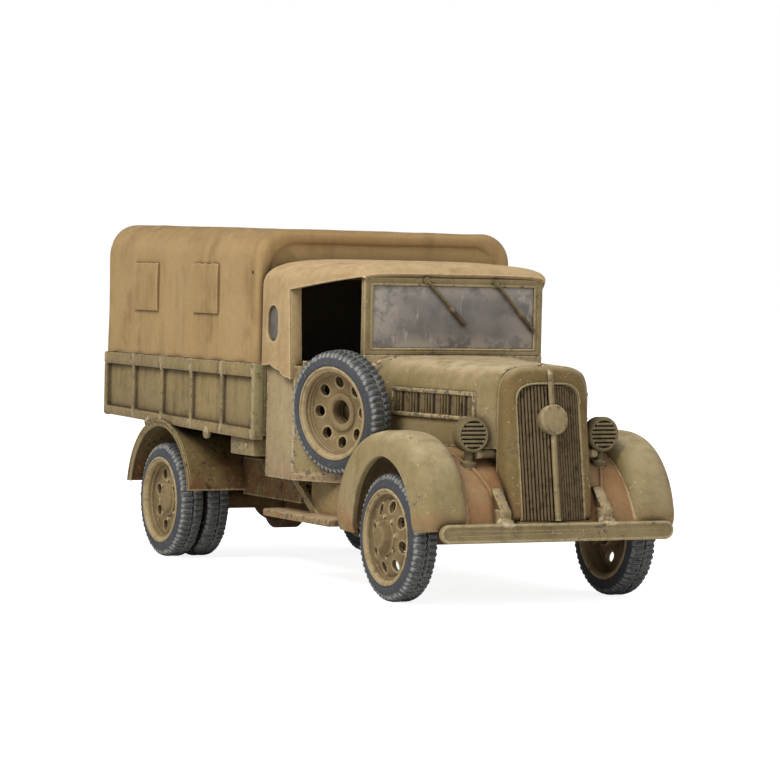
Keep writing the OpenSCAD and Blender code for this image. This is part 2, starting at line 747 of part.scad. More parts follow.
// Door panel; the right one has a round recess for the spare wheel
module cab_door(side) {
    recess_t = 0.9;
    floor_top = cab_z + 1.05;
    color("#a39468") placed() {
        difference() {
            union() {
                intersection() {
                    cab_walls(cab_z, door_top);
                    door_zone(-0.02);
                    block([side > 0 ? 0 : -40, 0, 0], [side > 0 ? 40 : 0, 60, 60]);
                }
                if (side < 0) intersection() {
                    spare_space(tyre_r + 0.3 + recess_t, -1, tyre_w + 0.3 + recess_t);
                    translate([0, 0, floor_top]) linear_extrude(door_top - floor_top) cab_plan(0.1);
                    block([-40, cab_front + cab_wall + 0.55, 0], [0, door_rear - 0.02, 60]);
                }
                translate([side * (cab_w / 2 - cab_wall / 2 - 0.6), door_rear - 1.4, door_top - slim])
                    cylinder(r = 0.4, h = 0.7, $fn = 24);
            }
            if (side < 0) spare_space(tyre_r + 0.3, -3, tyre_w + 0.3);
        }
    }
}

module windscreen_frame() {
    border = 1.3;
    color("#85794f") placed() difference() {
        block([-screen_w / 2, cab_front, screen_z + 0.02], [screen_w / 2, cab_front + 0.9, screen_top]);
        block([-screen_w / 2 + border, cab_front - 1, screen_z + 0.9],
            [screen_w / 2 - border, cab_front + 2, screen_top - 1.1]);
    }
}

module windscreen_pane() {
    border = 1.3;
    color("#8a8788") placed()
        block([-screen_w / 2 + border, cab_front + 0.25, screen_z + 0.9],
            [screen_w / 2 - border, cab_front + 0.6, screen_top - 1.1]);
}

// Two wipers that hang from the top of the frame
module wipers() {
    len = 8.3;
    lean = 44;
    color("#5c533c") placed() for (x = [-4.2, 6])
        translate([x, cab_front - 0.02, screen_top - 0.5]) rotate([0, -lean, 0]) {
            translate([-0.25, -0.35, -len]) cube([0.5, 0.35, len]);
            rotate([90, 0, 0]) cylinder(r = 0.45, h = 0.5, $fn = 24);
        }
}

// Canvas roof: half width and top at y
function roof_hw(y) = let (t = max(0, min(1, (y - cab_front) / (door_rear - cab_front + 1))))
    screen_w / 2 + 0.35 + (cab_w / 2 + 0.8 - screen_w / 2 - 0.35) * (0.3 * sin(90 * t) + 0.7 * t);
function roof_z(y) = roof_top - 0.9 * pow(max(0, 1 - (y - cab_front + 1.3) / 3), 2)
    + roof_climb * max(0, (y - cab_front) / cab_len);
function canopy_ring(y, t, low) = let (hw = roof_hw(y) - t, top = roof_z(y) - t, h = 3.6, n = 12)
    concat([[hw, y, low]],
        [for (i = [0:n]) let (a = 180 * i / n)
            [hw * power(cos(a), 0.45), y, top - h + h * power(sin(a), 0.7)]],
        [[-hw, y, low]]);

// Roof and rear quarters of the cab in canvas, open at the sides and front
module cab_canopy() {
    low = door_top + 0.05;
    front = cab_front - 0.3;
    pillar = cab_rear - 7;
    between = [front + 1.5, front + 4, front + 7, front + 10, pillar];
    color("#b0946a") placed() {
        difference() {
            loft([for (y = concat([front], between, [cab_rear])) canopy_ring(y, 0, low)]);
            loft([for (y = concat([front - 1], between, [cab_rear - canvas_t]))
                canopy_ring(y, canvas_t, low - 2)]);
            rotate([90, 0, 90]) translate([0, 0, -30]) linear_extrude(60)
                polygon([[front - 4, low - 4], [pillar - 0.8, low - 4], [pillar, roof_top - 3.7],
                    [cab_front + 0.3, screen_top + 0.25], [front - 4, screen_top + 0.25]]);
            canopy_slots(0);
        }
        for (s = [-1, 1]) on_side(s) canopy_tip(pillar, low);
    }
}

// Pointed lower end of the canvas, which hangs over the door's rear edge
module canopy_tip(pillar, low) {
    translate([cab_w / 2 + 0.03, 0, 0]) rotate([90, 0, 90]) linear_extrude(canvas_t - 0.03)
        polygon([[pillar - 0.6, low + 1.5], [pillar - 1.4, low - 1.9], [pillar + 0.6, low - 1.4],
            [pillar + 3.2, low - 0.5], [pillar + 3.8, low + 1.5]]);
}

module canopy_slots(grow) {
    slot_r = 1.6;
    y = cab_rear - 3.1;
    z0 = door_top + 4.6;
    for (z = [z0, z0 + 1.6]) bar_x(slot_r + grow, -30, 30, y, z);
    block([-30, y - slot_r - grow, z0], [30, y + slot_r + grow, z0 + 1.6]);
}

module canopy_windows() {
    y0 = cab_rear - 5;
    color("#6f6c66") placed() intersection() {
        canopy_slots(-0.02);
        for (s = [-1, 1]) block([s * (cab_w / 2 + 0.4) - 0.2, y0 - 4, 0],
            [s * (cab_w / 2 + 0.4) + 0.2, cab_rear, 60]);
    }
}

// Bench with its backrest
module seat() {
    half = cab_w / 2 - 5;
    color("#5a4a30") placed() {
        block([-half, cab_rear - 7.6, rail_top + 0.9], [half, cab_rear - 1.2, rail_top + 5.2]);
        block([-half, cab_rear - 2.9, rail_top + 5.2 - slim], [half, cab_rear - 1.2, door_top - 0.6]);
    }
}

// Ring with three spokes on a leaning column, on the right of the cab
module steering_wheel() {
    ring_r = 3;
    lean = 40;
    back = 5.2;
    column = (back - cab_wall - 0.35) / sin(lean);
    color("#3a342a") placed() translate([-screen_w / 4 - 1, cab_front + back, door_top - 2])
        rotate([-lean, 0, 0]) {
            rotate_extrude() translate([ring_r, 0]) circle(r = 0.3, $fn = 16);
            for (i = [0:2]) rotate([0, 0, 90 + 120 * i]) translate([0, -0.2, -0.2])
                cube([ring_r, 0.4, 0.4]);
            translate([0, 0, -column]) cylinder(r = 0.4, h = column + 0.3, $fn = 24);
        }
}

module spare_placed() {
    translate([spare_x, spare_y, spare_z]) rotate([0, 0, spare_turn]) rotate([0, -spare_lean, 0])
        translate([tyre_w / 2, 0, 0]) mirror([1, 0, 0]) children();
}

module spare_tyre() {
    color("#4b5058") placed() spare_placed() tyre();
}

// Spare wheel with an open hub ring
module spare_wheel() {
    color("#94805a") placed() spare_placed() difference() {
        wheel_disc(tyre_w / 2 - 2, -tyre_w / 2 + 0.2, tyre_w / 2 - 1.5, 2.1);
        wheel_bore(-tyre_w, tyre_w);
        translate([-tyre_w, 0, 0]) rotate([0, 90, 0]) cylinder(r = 1.5, h = 2 * tyre_w);
    }
}

// ---------- load bed ----------

module bed_floor() {
    color("#7d6a44") placed()
        block([-bed_w / 2 + board_t + rib_t, bed_front + board_t + 0.02, bed_z + 0.6],
            [bed_w / 2 - board_t - rib_t, bed_rear - 0.02, bed_z + 0.6 + board_t]);
}

// Two long runners on the rails with the cross bearers that carry the floor
module bed_bearers() {
    bearers = 6;
    color("#6b5a3a") placed() {
        for (s = [-1, 1])
            block([s * rail_spread / 2 - rail_w / 2, bed_front + 1, rail_top + 0.02],
                [s * rail_spread / 2 + rail_w / 2, rail_end, runner_top]);
        for (i = [0:bearers - 1]) let (y = bed_front + 2 + i * (bed_len - 4.4) / (bearers - 1))
            block([-bearer_half, y, runner_top + 0.02], [bearer_half, y + 1.2, bed_z + 0.58]);
    }
}

// Side board with its rails and upright ribs on the outside
module bed_side(side) {
    x1 = bed_w / 2;
    color("#8c7c55") on_side(side) placed() {
        block([x1 - rib_t - board_t, bed_front, bed_z], [x1 - rib_t, bed_rear, bed_top]);
        for (z = [bed_z, bed_top - rail_band])
            block([x1 - rib_t - slim, bed_front, z], [x1, bed_rear, z + rail_band * (z > bed_z ? 1 : 0.75)]);
        for (y = panel_y)
            block([x1 - rib_t - slim, y - rib_w / 2, bed_z], [x1, y + rib_w / 2, bed_top]);
        for (y = [panel_y[1] - 1, panel_y[4] + 1])
            translate([x1 - rib_t, y, bed_z + 0.3]) rotate([0, 90, 0]) cylinder(r = 0.8, h = 0.5, $fn = 24);
    }
}

module bed_front_board() {
    color("#6e5f3c") placed()
        block([-bed_w / 2 + board_t + rib_t, bed_front, bed_z], [bed_w / 2 - board_t - rib_t,
            bed_front + board_t, bed_top]);
}

// Rear flap of the bed, closed, with ribs on its outside
module tailgate() {
    half = bed_w / 2 - 0.6;
    ribs = 4;
    color("#8c7c55") placed() {
        block([-half, bed_rear, bed_z + 0.4], [half, bed_rear + board_t * 0.6, bed_top]);
        for (z = [bed_z + 0.4, bed_top - 1.4])
            block([-half, bed_rear, z], [half, bed_rear + board_t, z + 1.4]);
        for (i = [0:ribs - 1]) let (x = -half + i * (2 * half - rib_w) / (ribs - 1))
            block([x, bed_rear, bed_z + 0.4], [x + rib_w, bed_rear + board_t, bed_top]);
    }
}

// Locker and its hanger under the front of the bed
module tool_box() {
    front = bed_front + 1.5;
    color("#a39468") placed() for (s = [-1, 1]) on_side(s)
        block([bed_w / 2 - 6, front, bed_z - 2.75], [bed_w / 2 - 0.8, front + 7.3, bed_z - 0.02]);
}

// ---------- canvas cover ----------

// Rise of the cover's top at y, towards the rear
function tilt_lift(y) = tilt_rise * (y - bed_front) / bed_len;

// Outline of the cover across the truck, inset by t
module tilt_outline(t, low, lift = 0) {
    hw = tilt_hw - t;
    r = max(0.5, tilt_corner - t);
    top = tilt_top + lift - t;
    translate([-hw, low]) square([2 * hw, top - r - low]);
    translate([-hw + r, low]) square([2 * hw - 2 * r, top - low]);
    for (s = [-1, 1]) translate([s * (hw - r), top - r]) circle(r = r, $fn = 64);
}

module across(y0, y1) {
    translate([0, y1, 0]) rotate([90, 0, 0]) linear_extrude(y1 - y0) children();
}

function tilt_ring(y, t, low) = let (hw = tilt_hw - t, r = max(0.5, tilt_corner - t),
        top = tilt_top + tilt_lift(y) - t)
    concat([[hw, y, low]],
        [for (a = [0:9:90]) [hw - r + r * cos(a), y, top - r + r * sin(a)]],
        [for (a = [90:9:180]) [r - hw + r * cos(a), y, top - r + r * sin(a)]],
        [[-hw, y, low]]);

module tilt_cover() {
    low = bed_top + 0.05;
    color("#b0946a") placed() difference() {
        loft([for (y = [bed_front, bed_rear - 0.3]) tilt_ring(y, 0, low)]);
        loft([for (y = [bed_front - 1, bed_rear + 1]) tilt_ring(y, canvas_t, low - 2)]);
    }
}

module tilt_front_panel() {
    color("#8a6e45") placed() across(bed_front + 0.15, bed_front + 0.15 + canvas_t)
        tilt_outline(canvas_t + 0.02, bed_top + 0.05);
}

// Bows that carry the canvas, seated inside the bed's sides
module tilt_hoops() {
    r = 0.5;
    n = 5;
    gap = 0.05;
    color("#5a4a30") placed() for (i = [0:n - 1]) let (y = bed_front + 3 + i * (bed_len - 7.5) / (n - 1))
        across(y - r, y + r) difference() {
            tilt_outline(canvas_t + gap, bed_top + 0.05, tilt_lift(y - r));
            tilt_outline(canvas_t + gap + 2 * r, bed_top - 1, tilt_lift(y - r));
        }
}

// Rear curtain rolled up under the last bow
module rolled_curtain() {
    r = 1.2;
    y = bed_rear - 0.6 - r;
    color("#a88c62") placed() translate([0, y, tilt_top + tilt_lift(y - r) - canvas_t - 0.05 - r])
        rotate([0, 90, 0]) cylinder(r = r, h = 2 * (tilt_hw - 5.2), center = true);
}

// Two square flaps on each side of the cover
module tilt_flaps() {
    t = 0.35;
    w = 8.4;
    h = 6.8;
    color("#b0946a") placed() for (s = [-1, 1]) on_side(s) for (y = [bed_front + 12.6, bed_front + 33.3])
        block([tilt_hw + 0.02 - slim, y, bed_top + 6.3], [tilt_hw + t, y + w, bed_top + 6.3 + h]);
}

frame_rails();
cross_members();
front_axle();
rear_axle();
leaf_springs();
prop_shaft();
bumper();
radiator_shell();
radiator_grille();
badge_disc();
bonnet();
bonnet_louvres();
headlamp(1);  // headlamp_left
headlamp(-1);  // headlamp_right
front_fender(1);  // front_fender_left
front_fender(-1);  // front_fender_right
running_board(1);  // running_board_left
running_board(-1);  // running_board_right
rear_fender(1);  // rear_fender_left
rear_fender(-1);  // rear_fender_right
cab_shell();
cab_door(1);  // cab_door_left
cab_door(-1);  // cab_door_right
windscreen_frame();
windscreen_pane();
wipers();
cab_canopy();
canopy_windows();
seat();
steering_wheel();
spare_wheel();
spare_tyre();
bed_floor();
bed_bearers();
bed_side(1);  // bed_side_left
bed_side(-1);  // bed_side_right
bed_front_board();
tailgate();
tool_box();
tilt_cover();
tilt_front_panel();
tilt_hoops();
rolled_curtain();
tilt_flaps();
front_tyre(1);  // front_tyre_left
front_wheel(1);  // front_wheel_left
front_tyre(-1);  // front_tyre_right
front_wheel(-1);  // front_wheel_right
rear_tyres(1);  // rear_tyres_left
rear_wheels(1);  // rear_wheels_left
rear_tyres(-1);  // rear_tyres_right
rear_wheels(-1);  // rear_wheels_right
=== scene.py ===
import bpy
import bmesh
import json
import math
from mathutils import Matrix, Vector, noise


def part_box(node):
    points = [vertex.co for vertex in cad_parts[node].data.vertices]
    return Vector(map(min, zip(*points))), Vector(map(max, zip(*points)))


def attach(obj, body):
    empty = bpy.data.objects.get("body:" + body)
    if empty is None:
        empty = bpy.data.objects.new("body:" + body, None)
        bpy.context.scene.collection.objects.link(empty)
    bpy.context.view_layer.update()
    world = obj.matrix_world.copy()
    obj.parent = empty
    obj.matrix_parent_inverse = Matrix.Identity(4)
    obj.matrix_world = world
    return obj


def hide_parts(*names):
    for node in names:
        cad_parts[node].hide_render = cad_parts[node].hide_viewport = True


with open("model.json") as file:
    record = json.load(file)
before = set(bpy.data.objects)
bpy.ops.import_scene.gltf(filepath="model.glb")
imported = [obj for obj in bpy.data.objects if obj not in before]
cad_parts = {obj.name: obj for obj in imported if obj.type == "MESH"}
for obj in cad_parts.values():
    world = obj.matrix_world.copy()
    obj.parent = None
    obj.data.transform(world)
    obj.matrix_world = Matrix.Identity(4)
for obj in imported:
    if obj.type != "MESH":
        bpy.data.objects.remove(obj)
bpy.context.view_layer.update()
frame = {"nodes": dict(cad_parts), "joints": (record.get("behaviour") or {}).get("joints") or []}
scene = bpy.context.scene
mm = 0.001
hinges = {j["name"]: Vector(j["pos_m"]) / mm for j in frame["joints"]}
axleY = hinges["front_wheel_left_spin"].y          # the front axle in the shared frame
axleZ = hinges["front_wheel_left_spin"].z
wheelbase = hinges["rear_pair_left_spin"].y - axleY
sides = ((1, "Left"), (-1, "Right"))


# Places are millimetres from the front axle, on the ground, front towards -Y
def at(x, y, z):
    return Vector((x * mm, (y + axleY) * mm, z * mm))


def placeAt(x, y, z):
    return Matrix.Translation(at(x, y, z))


def turnBy(degrees, axis="Z"):
    return Matrix.Rotation(math.radians(degrees), 4, axis)


# Turns a part that was drawn for the left so that it faces outwards on either side
def facing(side):
    return turnBy(180 if side < 0 else 0)


def span(node):
    low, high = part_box(node)
    shift = Vector((0, axleY, 0))
    return low / mm - shift, high / mm - shift


def clamp(value):
    return max(0, min(1, value))


# Height of a flat-topped arch over c from -1 to 1: 0 at both ends, 1 in the middle
def archLift(c, square, fall):
    return math.sqrt(max(0, 1 - abs(c) ** (2 / square))) ** fall


def mend(mesh, merge=0.002):
    work = bmesh.new()
    work.from_mesh(mesh)
    bmesh.ops.remove_doubles(work, verts=work.verts, dist=merge * mm)
    bmesh.ops.dissolve_degenerate(work, edges=work.edges, dist=merge * mm * 0.5)
    bmesh.ops.recalc_face_normals(work, faces=work.faces)
    work.to_mesh(mesh)
    work.free()


def softenShading(mesh, angle=35):
    mesh.shade_smooth()
    mesh.set_sharp_from_angle(angle=math.radians(angle))


def addPiece(name, mesh, paint=None):
    if paint:
        mesh.materials.append(paint)
    piece = bpy.data.objects.new(name, mesh)
    scene.collection.objects.link(piece)
    return piece


def buildPiece(name, places, faces, paint, angle):
    mesh = bpy.data.meshes.new(name)
    mesh.from_pydata(places, [], faces)
    mend(mesh)
    softenShading(mesh, angle)
    return addPiece(name, mesh, paint)


def newPiece(name, points, faces, paint, angle=35):
    return buildPiece(name, [at(*p) for p in points], faces, paint, angle)


def applyTools(piece, angle=35):
    result = bpy.data.meshes.new_from_object(piece.evaluated_get(bpy.context.evaluated_depsgraph_get()))
    piece.modifiers.clear()
    piece.data = result
    softenShading(result, angle)
    return piece


def bevelPiece(piece, width, steps=2, angle=32, weights=False):
    tool = piece.modifiers.new("softEdges", "BEVEL")
    tool.width = width * mm
    tool.segments = steps
    tool.limit_method = "WEIGHT" if weights else "ANGLE"
    tool.angle_limit = math.radians(angle)
    tool.miter_outer = "MITER_ARC"
    return applyTools(piece)


def cutPiece(piece, cutter):
    tool = piece.modifiers.new("cut", "BOOLEAN")
    tool.operation = "DIFFERENCE"
    tool.solver = "EXACT"
    tool.object = cutter
    applyTools(piece)
    bpy.data.objects.remove(cutter)
    return piece


# Gives an open sheet its wall, inwards from the outer face
def thickenPiece(piece, thick, angle=35):
    wall = piece.modifiers.new("thickness", "SOLIDIFY")
    wall.thickness = thick * mm
    wall.offset = -1
    return applyTools(piece, angle)


def movePiece(piece, matrix):
    piece.data.transform(matrix)
    return piece


# Moves a part from the front axle, where newPiece draws it, to the origin
def toOrigin(piece):
    return movePiece(piece, Matrix.Translation(-at(0, 0, 0)))


def joinPieces(name, pieces):
    paints = []
    work = bmesh.new()
    for piece in pieces:
        slots = []
        for paint in piece.data.materials:
            if paint not in paints:
                paints.append(paint)
            slots.append(paints.index(paint))
        before = len(work.faces)
        work.from_mesh(piece.data)
        work.faces.ensure_lookup_table()
        for face in work.faces[before:]:
            face.material_index = slots[face.material_index]
    mesh = bpy.data.meshes.new(name)
    work.to_mesh(mesh)
    work.free()
    for paint in paints:
        mesh.materials.append(paint)
    for piece in pieces:
        bpy.data.objects.remove(piece)
    return addPiece(name, mesh)


def settle(piece, slot, body="truck", stands=()):
    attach(piece, body)
    if stands:
        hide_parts(*stands)
    return piece


# A copy of a frame node with merged corners, flat faces joined and soft edges; weigh, where
# given, says how much of the bevel each sharp edge gets
def softCopy(name, node, paint, slot, width, steps=2, angle=32, weigh=None):
    work = bmesh.new()
    work.from_mesh(frame["nodes"][node].data)
    bmesh.ops.remove_doubles(work, verts=work.verts, dist=0.001 * mm)
    bmesh.ops.dissolve_limit(work, angle_limit=math.radians(0.6), verts=work.verts, edges=work.edges)
    if weigh:
        layer = work.edges.layers.float.new("bevel_weight_edge")
        for edge in work.edges:
            if len(edge.link_faces) == 2 and edge.calc_face_angle(0) > math.radians(angle):
                middle = (edge.verts[0].co + edge.verts[1].co) / 2 / mm - Vector((0, axleY, 0))
                edge[layer] = weigh(middle)
    mesh = bpy.data.meshes.new(name)
    work.to_mesh(mesh)
    work.free()
    piece = bevelPiece(addPiece(name, mesh, paint), width, steps, angle, bool(weigh))
    return settle(piece, slot, stands=[node])


def bridgeRings(count, size, closed=True):
    faces = []
    for i in range(count - 1):
        for j in range(size if closed else size - 1):
            k = (j + 1) % size
            faces.append((i * size + j, i * size + k, (i + 1) * size + k, (i + 1) * size + j))
    return faces


def loftPiece(name, rings, paint, angle=35):
    size = len(rings[0])
    faces = bridgeRings(len(rings), size)
    faces += [tuple(range(size)), tuple((len(rings) - 1) * size + j for j in reversed(range(size)))]
    return newPiece(name, [p for ring in rings for p in ring], faces, paint, angle)


# Turns a closed outline of (along, radius) round the X axis, in millimetres about the origin
def lathePiece(name, outline, paint, steps=64, angle=32):
    points, faces = [], []
    size = len(outline)
    for i in range(steps):
        turn = 2 * math.pi * i / steps
        points += [(x, r * math.cos(turn), r * math.sin(turn)) for x, r in outline]
    for i in range(steps):
        for j in range(size):
            a, b = i * size, (i + 1) % steps * size
            k = (j + 1) % size
            faces.append((a + j, a + k, b + k, b + j))
    return buildPiece(name, [Vector(p) * mm for p in points], faces, paint, angle)


# Box with rounded edges from its lowest to its highest corner
def softBox(name, low, high, paint, round=0.12, steps=2):
    xs, ys, zs = zip(low, high)
    points = [(x, y, z) for x in xs for y in ys for z in zs]
    faces = [(0, 1, 3, 2), (4, 6, 7, 5), (0, 4, 5, 1), (2, 3, 7, 6), (0, 2, 6, 4), (1, 5, 7, 3)]
    return bevelPiece(newPiece(name, points, faces, paint), round, steps)


# The same box on one side of the truck, from its inner to its outer X
def sideBox(name, side, xSpan, ySpan, zSpan, paint, round=0.12):
    xs = sorted(side * x for x in xSpan)
    return softBox(name, (xs[0], ySpan[0], zSpan[0]), (xs[1], ySpan[1], zSpan[1]), paint, round)


# Round bar along a path of points
def barPiece(name, path, radius, paint, sides=10, squash=1):
    rings = []
    path = [Vector(p) for p in path]
    for i, p in enumerate(path):
        ahead = (path[min(i + 1, len(path) - 1)] - path[max(i - 1, 0)]).normalized()
        side = ahead.cross(Vector((0.05, 0.1, 1))).normalized()
        up = side.cross(ahead)
        rings.append([p + side * radius * math.cos(t) + up * radius * squash * math.sin(t)
                      for t in (2 * math.pi * k / sides for k in range(sides))])
    return loftPiece(name, rings, paint, 50)


# Geometry nodes that repeat one part along a line, each copy turned further than the last
def makeRepeatTree():
    tree = bpy.data.node_groups.new("repeatParts", "GeometryNodeTree")
    face = tree.interface
    kinds = {"Part": "Object", "Count": "Int", "Start": "Vector", "Step": "Vector", "Turn": "Vector",
             "Wobble": "Float", "Seed": "Int", "Paint": "Material"}
    for label, kind in kinds.items():
        face.new_socket(label, in_out="INPUT", socket_type="NodeSocket" + kind)
    face.new_socket("Geometry", in_out="OUTPUT", socket_type="NodeSocketGeometry")
    add, join = tree.nodes.new, tree.links.new
    given, out = add("NodeGroupInput"), add("NodeGroupOutput")
    line = add("GeometryNodeMeshLine")
    part, index = add("GeometryNodeObjectInfo"), add("GeometryNodeInputIndex")
    turn, euler = add("ShaderNodeVectorMath"), add("FunctionNodeEulerToRotation")
    turn.operation = "SCALE"
    shake = add("FunctionNodeRandomValue")
    spread, both = add("ShaderNodeVectorMath"), add("ShaderNodeVectorMath")
    spread.operation, both.operation = "SCALE", "ADD"
    shake.data_type = "FLOAT_VECTOR"
    shake.inputs["Min"].default_value = (-1, -1, -1)
    place, real = add("GeometryNodeInstanceOnPoints"), add("GeometryNodeRealizeInstances")
    paint = add("GeometryNodeSetMaterial")
    for source, key, target, socket in (
            (given, "Count", line, "Count"), (given, "Start", line, "Start Location"),
            (given, "Step", line, "Offset"), (given, "Part", part, "Object"), (given, "Turn", turn, 0),
            (index, 0, turn, "Scale"), (given, "Seed", shake, "Seed"), (shake, "Value", spread, 0),
            (given, "Wobble", spread, "Scale"), (turn, 0, both, 0), (spread, 0, both, 1),
            (both, 0, euler, 0), (line, "Mesh", place, "Points"), (part, "Geometry", place, "Instance"),
            (euler, 0, place, "Rotation"), (place, 0, real, 0), (real, 0, paint, "Geometry"),
            (given, "Paint", paint, "Material"), (paint, 0, out, 0)):
        join(source.outputs[key], target.inputs[socket])
    return tree


repeatTree = makeRepeatTree()


# Repeats a part drawn about the origin; steps and turns go from one copy to the next
def repeatPart(name, part, count, paint, start=(0, 0, 0), step=(0, 0, 0), turn=(0, 0, 0), wobble=0.0,
               seed=1):
    holder = addPiece(name, bpy.data.meshes.new(name))
    tool = holder.modifiers.new("repeat", "NODES")
    tool.node_group = repeatTree
    sockets = {s.name: s.identifier for s in repeatTree.interface.items_tree if s.in_out == "INPUT"}
    values = {"Part": part, "Count": count, "Start": [v * mm for v in start], "Step": [v * mm for v in step],
              "Turn": [math.radians(v) for v in turn], "Wobble": math.radians(wobble), "Seed": seed,
              "Paint": paint}
    for label, value in values.items():
        tool[sockets[label]] = value
    applyTools(holder)
    bpy.data.objects.remove(part)
    return holder


def linear(rgb):
    return [((c / 255 + 0.055) / 1.055) ** 2.4 if c > 10 else c / 255 / 12.92 for c in rgb] + [1]


class PaintNodes:
    def __init__(self, name):
        self.paint = bpy.data.materials.new(name)
        self.paint.use_nodes = True
        self.tree = self.paint.node_tree
        self.shader = self.tree.nodes["Principled BSDF"]
        self.place = self.add("ShaderNodeTexCoord").outputs["Object"]
        self.spots = self.scaled((1000, 1000, 1000))

    def add(self, kind, **values):
        node = self.tree.nodes.new(kind)
        for key, value in values.items():
            if hasattr(node, key):
                setattr(node, key, value)
            else:
                node.inputs[key.replace("_", " ").title()].default_value = value
        return node

    def join(self, a, b):
        self.tree.links.new(a, b)

    def scaled(self, scale, turn=(0, 0, 0)):
        node = self.add("ShaderNodeMapping")
        node.inputs["Scale"].default_value = scale
        node.inputs["Rotation"].default_value = turn
        self.join(self.place, node.inputs["Vector"])
        return node.outputs[0]

    def grain(self, scale, detail=3, low=0.4, high=0.6, where=None, rough=0.6):
        node = self.add("ShaderNodeTexNoise", scale=scale, detail=detail, roughness=rough)
        self.join(where or self.spots, node.inputs["Vector"])
        return self.span(node.outputs["Fac"], low, high)

    def span(self, value, low, high, start=0, end=1):
        node = self.add("ShaderNodeMapRange")
        for key, v in (("From Min", low), ("From Max", high), ("To Min", start), ("To Max", end)):
            node.inputs[key].default_value = v
        self.join(value, node.inputs["Value"])
        return node.outputs[0]

    def math(self, kind, a, b):
        node = self.add("ShaderNodeMath", operation=kind)
        for socket, v in zip(node.inputs, (a, b)):
            if isinstance(v, (int, float)):
                socket.default_value = v
            else:
                self.join(v, socket)
        return node.outputs[0]

    def mix(self, share, a, b):
        node = self.add("ShaderNodeMix", data_type="RGBA")
        for socket, v in ((node.inputs[0], share), (node.inputs[6], a), (node.inputs[7], b)):
            if isinstance(v, (int, float, list)):
                socket.default_value = v
            elif isinstance(v, tuple):
                socket.default_value = linear(v)
            else:
                self.join(v, socket)
        return node.outputs[2]

    def hollows(self, reach, inside=False, local=False):
        node = self.add("ShaderNodeAmbientOcclusion", samples=6, inside=inside, only_local=local)
        node.inputs["Distance"].default_value = reach * mm
        return self.math("SUBTRACT", 1, node.outputs["AO"])


# Brush-painted finish: patches, mottling, fine grain, streaks, dust low down, a dark wash in the
# recesses that is also painted shade, light drybrushed edges and chips, and painted light or shade on upward
# faces
def makePaint(name, base, patch, washAndShade, edge, patchSize=0.13, patchShare=0.7, mottle=0.35, mottleSize=0.9,
              streak=None, streakShare=0.0, dust=None, dustTop=15, dustLow=7, dustShare=0.0,
              washAndShadeShare=0.92, washAndShadeReach=1.3, edgeShare=0.8, edgeReach=0.32, chip=None, chipShare=0.0,
              speck=None, speckShare=0.0, rough=0.8, bump=0.5, paintedTopShading=None, paintedTopShadingShare=0.0, loose=0.0,
              streakWide=1.0):
    p = PaintNodes(name)
    colour = p.mix(p.math("MULTIPLY", p.grain(patchSize, 4, 0.36, 0.64), patchShare), base, patch)
    dark = tuple(c * 0.7 for c in base)
    colour = p.mix(p.math("MULTIPLY", p.grain(mottleSize, 6, 0.45, 0.72), mottle), colour, dark)
    if streak:
        lines = p.scaled((520 / streakWide, 520 / streakWide, 60 / streakWide))
        broad = p.math("MULTIPLY", p.grain(0.9, 5, 0.46, 0.7, lines), p.grain(0.22, 3, 0.4, 0.6))
        colour = p.mix(p.math("MULTIPLY", broad, streakShare), colour, streak)
    split = p.add("ShaderNodeSeparateXYZ")
    p.join(p.spots, split.inputs[0])
    # Faces turned upwards take another tone by their normal: painted light where it is lighter, and painted
    # shade on the tilt cover, where it is darker
    if paintedTopShading:
        normal = p.add("ShaderNodeNewGeometry")
        up = p.add("ShaderNodeSeparateXYZ")
        p.join(normal.outputs["Normal"], up.inputs[0])
        share = p.math("MULTIPLY", p.span(up.outputs[2], 0.35, 0.95), p.grain(0.5, 6, 0.3, 0.6))
        colour = p.mix(p.math("MULTIPLY", share, paintedTopShadingShare), colour, paintedTopShading)
    if dust:
        height = p.span(split.outputs[2], dustTop, dustLow)
        share = p.math("MULTIPLY", height, p.grain(0.35, 6, 0.34, 0.62))
        colour = p.mix(p.math("MULTIPLY", share, dustShare), colour, dust)
    # Darker where ambient occlusion finds hollows and gaps between parts: the model's brown wash, and painted
    # shade as well
    deep = p.span(p.hollows(washAndShadeReach), 0.14, 0.55)
    colour = p.mix(p.math("MULTIPLY", deep, washAndShadeShare), colour, washAndShade)
    rims = p.span(p.hollows(edgeReach, True, True), 0.1, 0.42)
    thin = p.math("MULTIPLY", rims, p.grain(1.1, 6, 0.28, 0.5))
    colour = p.mix(p.math("MULTIPLY", thin, edgeShare), colour, edge)
    if chip:
        near = p.span(p.hollows(edgeReach * 2.6, True, True), 0.06, 0.3)
        if loose:
            near = p.grain(0.3, 4, loose, loose + 0.08)
        flakes = p.math("MULTIPLY", p.grain(1.5, 6, 0.52, 0.56, rough=0.75), near)
        colour = p.mix(p.math("MULTIPLY", flakes, chipShare), colour, chip)
    if speck:
        flecks = p.math("MULTIPLY", p.grain(3.4, 3, 0.63, 0.68), p.grain(0.4, 3, 0.42, 0.6))
        colour = p.mix(p.math("MULTIPLY", flecks, speckShare), colour, speck)
    fine = p.span(p.grain(5.5, 2, 0.3, 0.7), 0, 1, 0.9, 1.08)
    shade = p.add("ShaderNodeVectorMath", operation="SCALE")
    p.join(colour, shade.inputs[0])
    p.join(fine, shade.inputs["Scale"])
    p.join(shade.outputs[0], p.shader.inputs["Base Color"])
    p.shader.inputs["Roughness"].default_value = rough
    p.shader.inputs["Specular IOR Level"].default_value = 0.3
    bumps = p.add("ShaderNodeBump")
    bumps.inputs["Strength"].default_value = bump
    bumps.inputs["Distance"].default_value = 0.06 * mm
    p.join(p.math("ADD", p.grain(0.7, 6, 0.2, 0.8), p.math("MULTIPLY", p.grain(4.5, 3, 0.2, 0.8), 0.5)),
           bumps.inputs["Height"])
    p.join(bumps.outputs[0], p.shader.inputs["Normal"])
    return p.paint
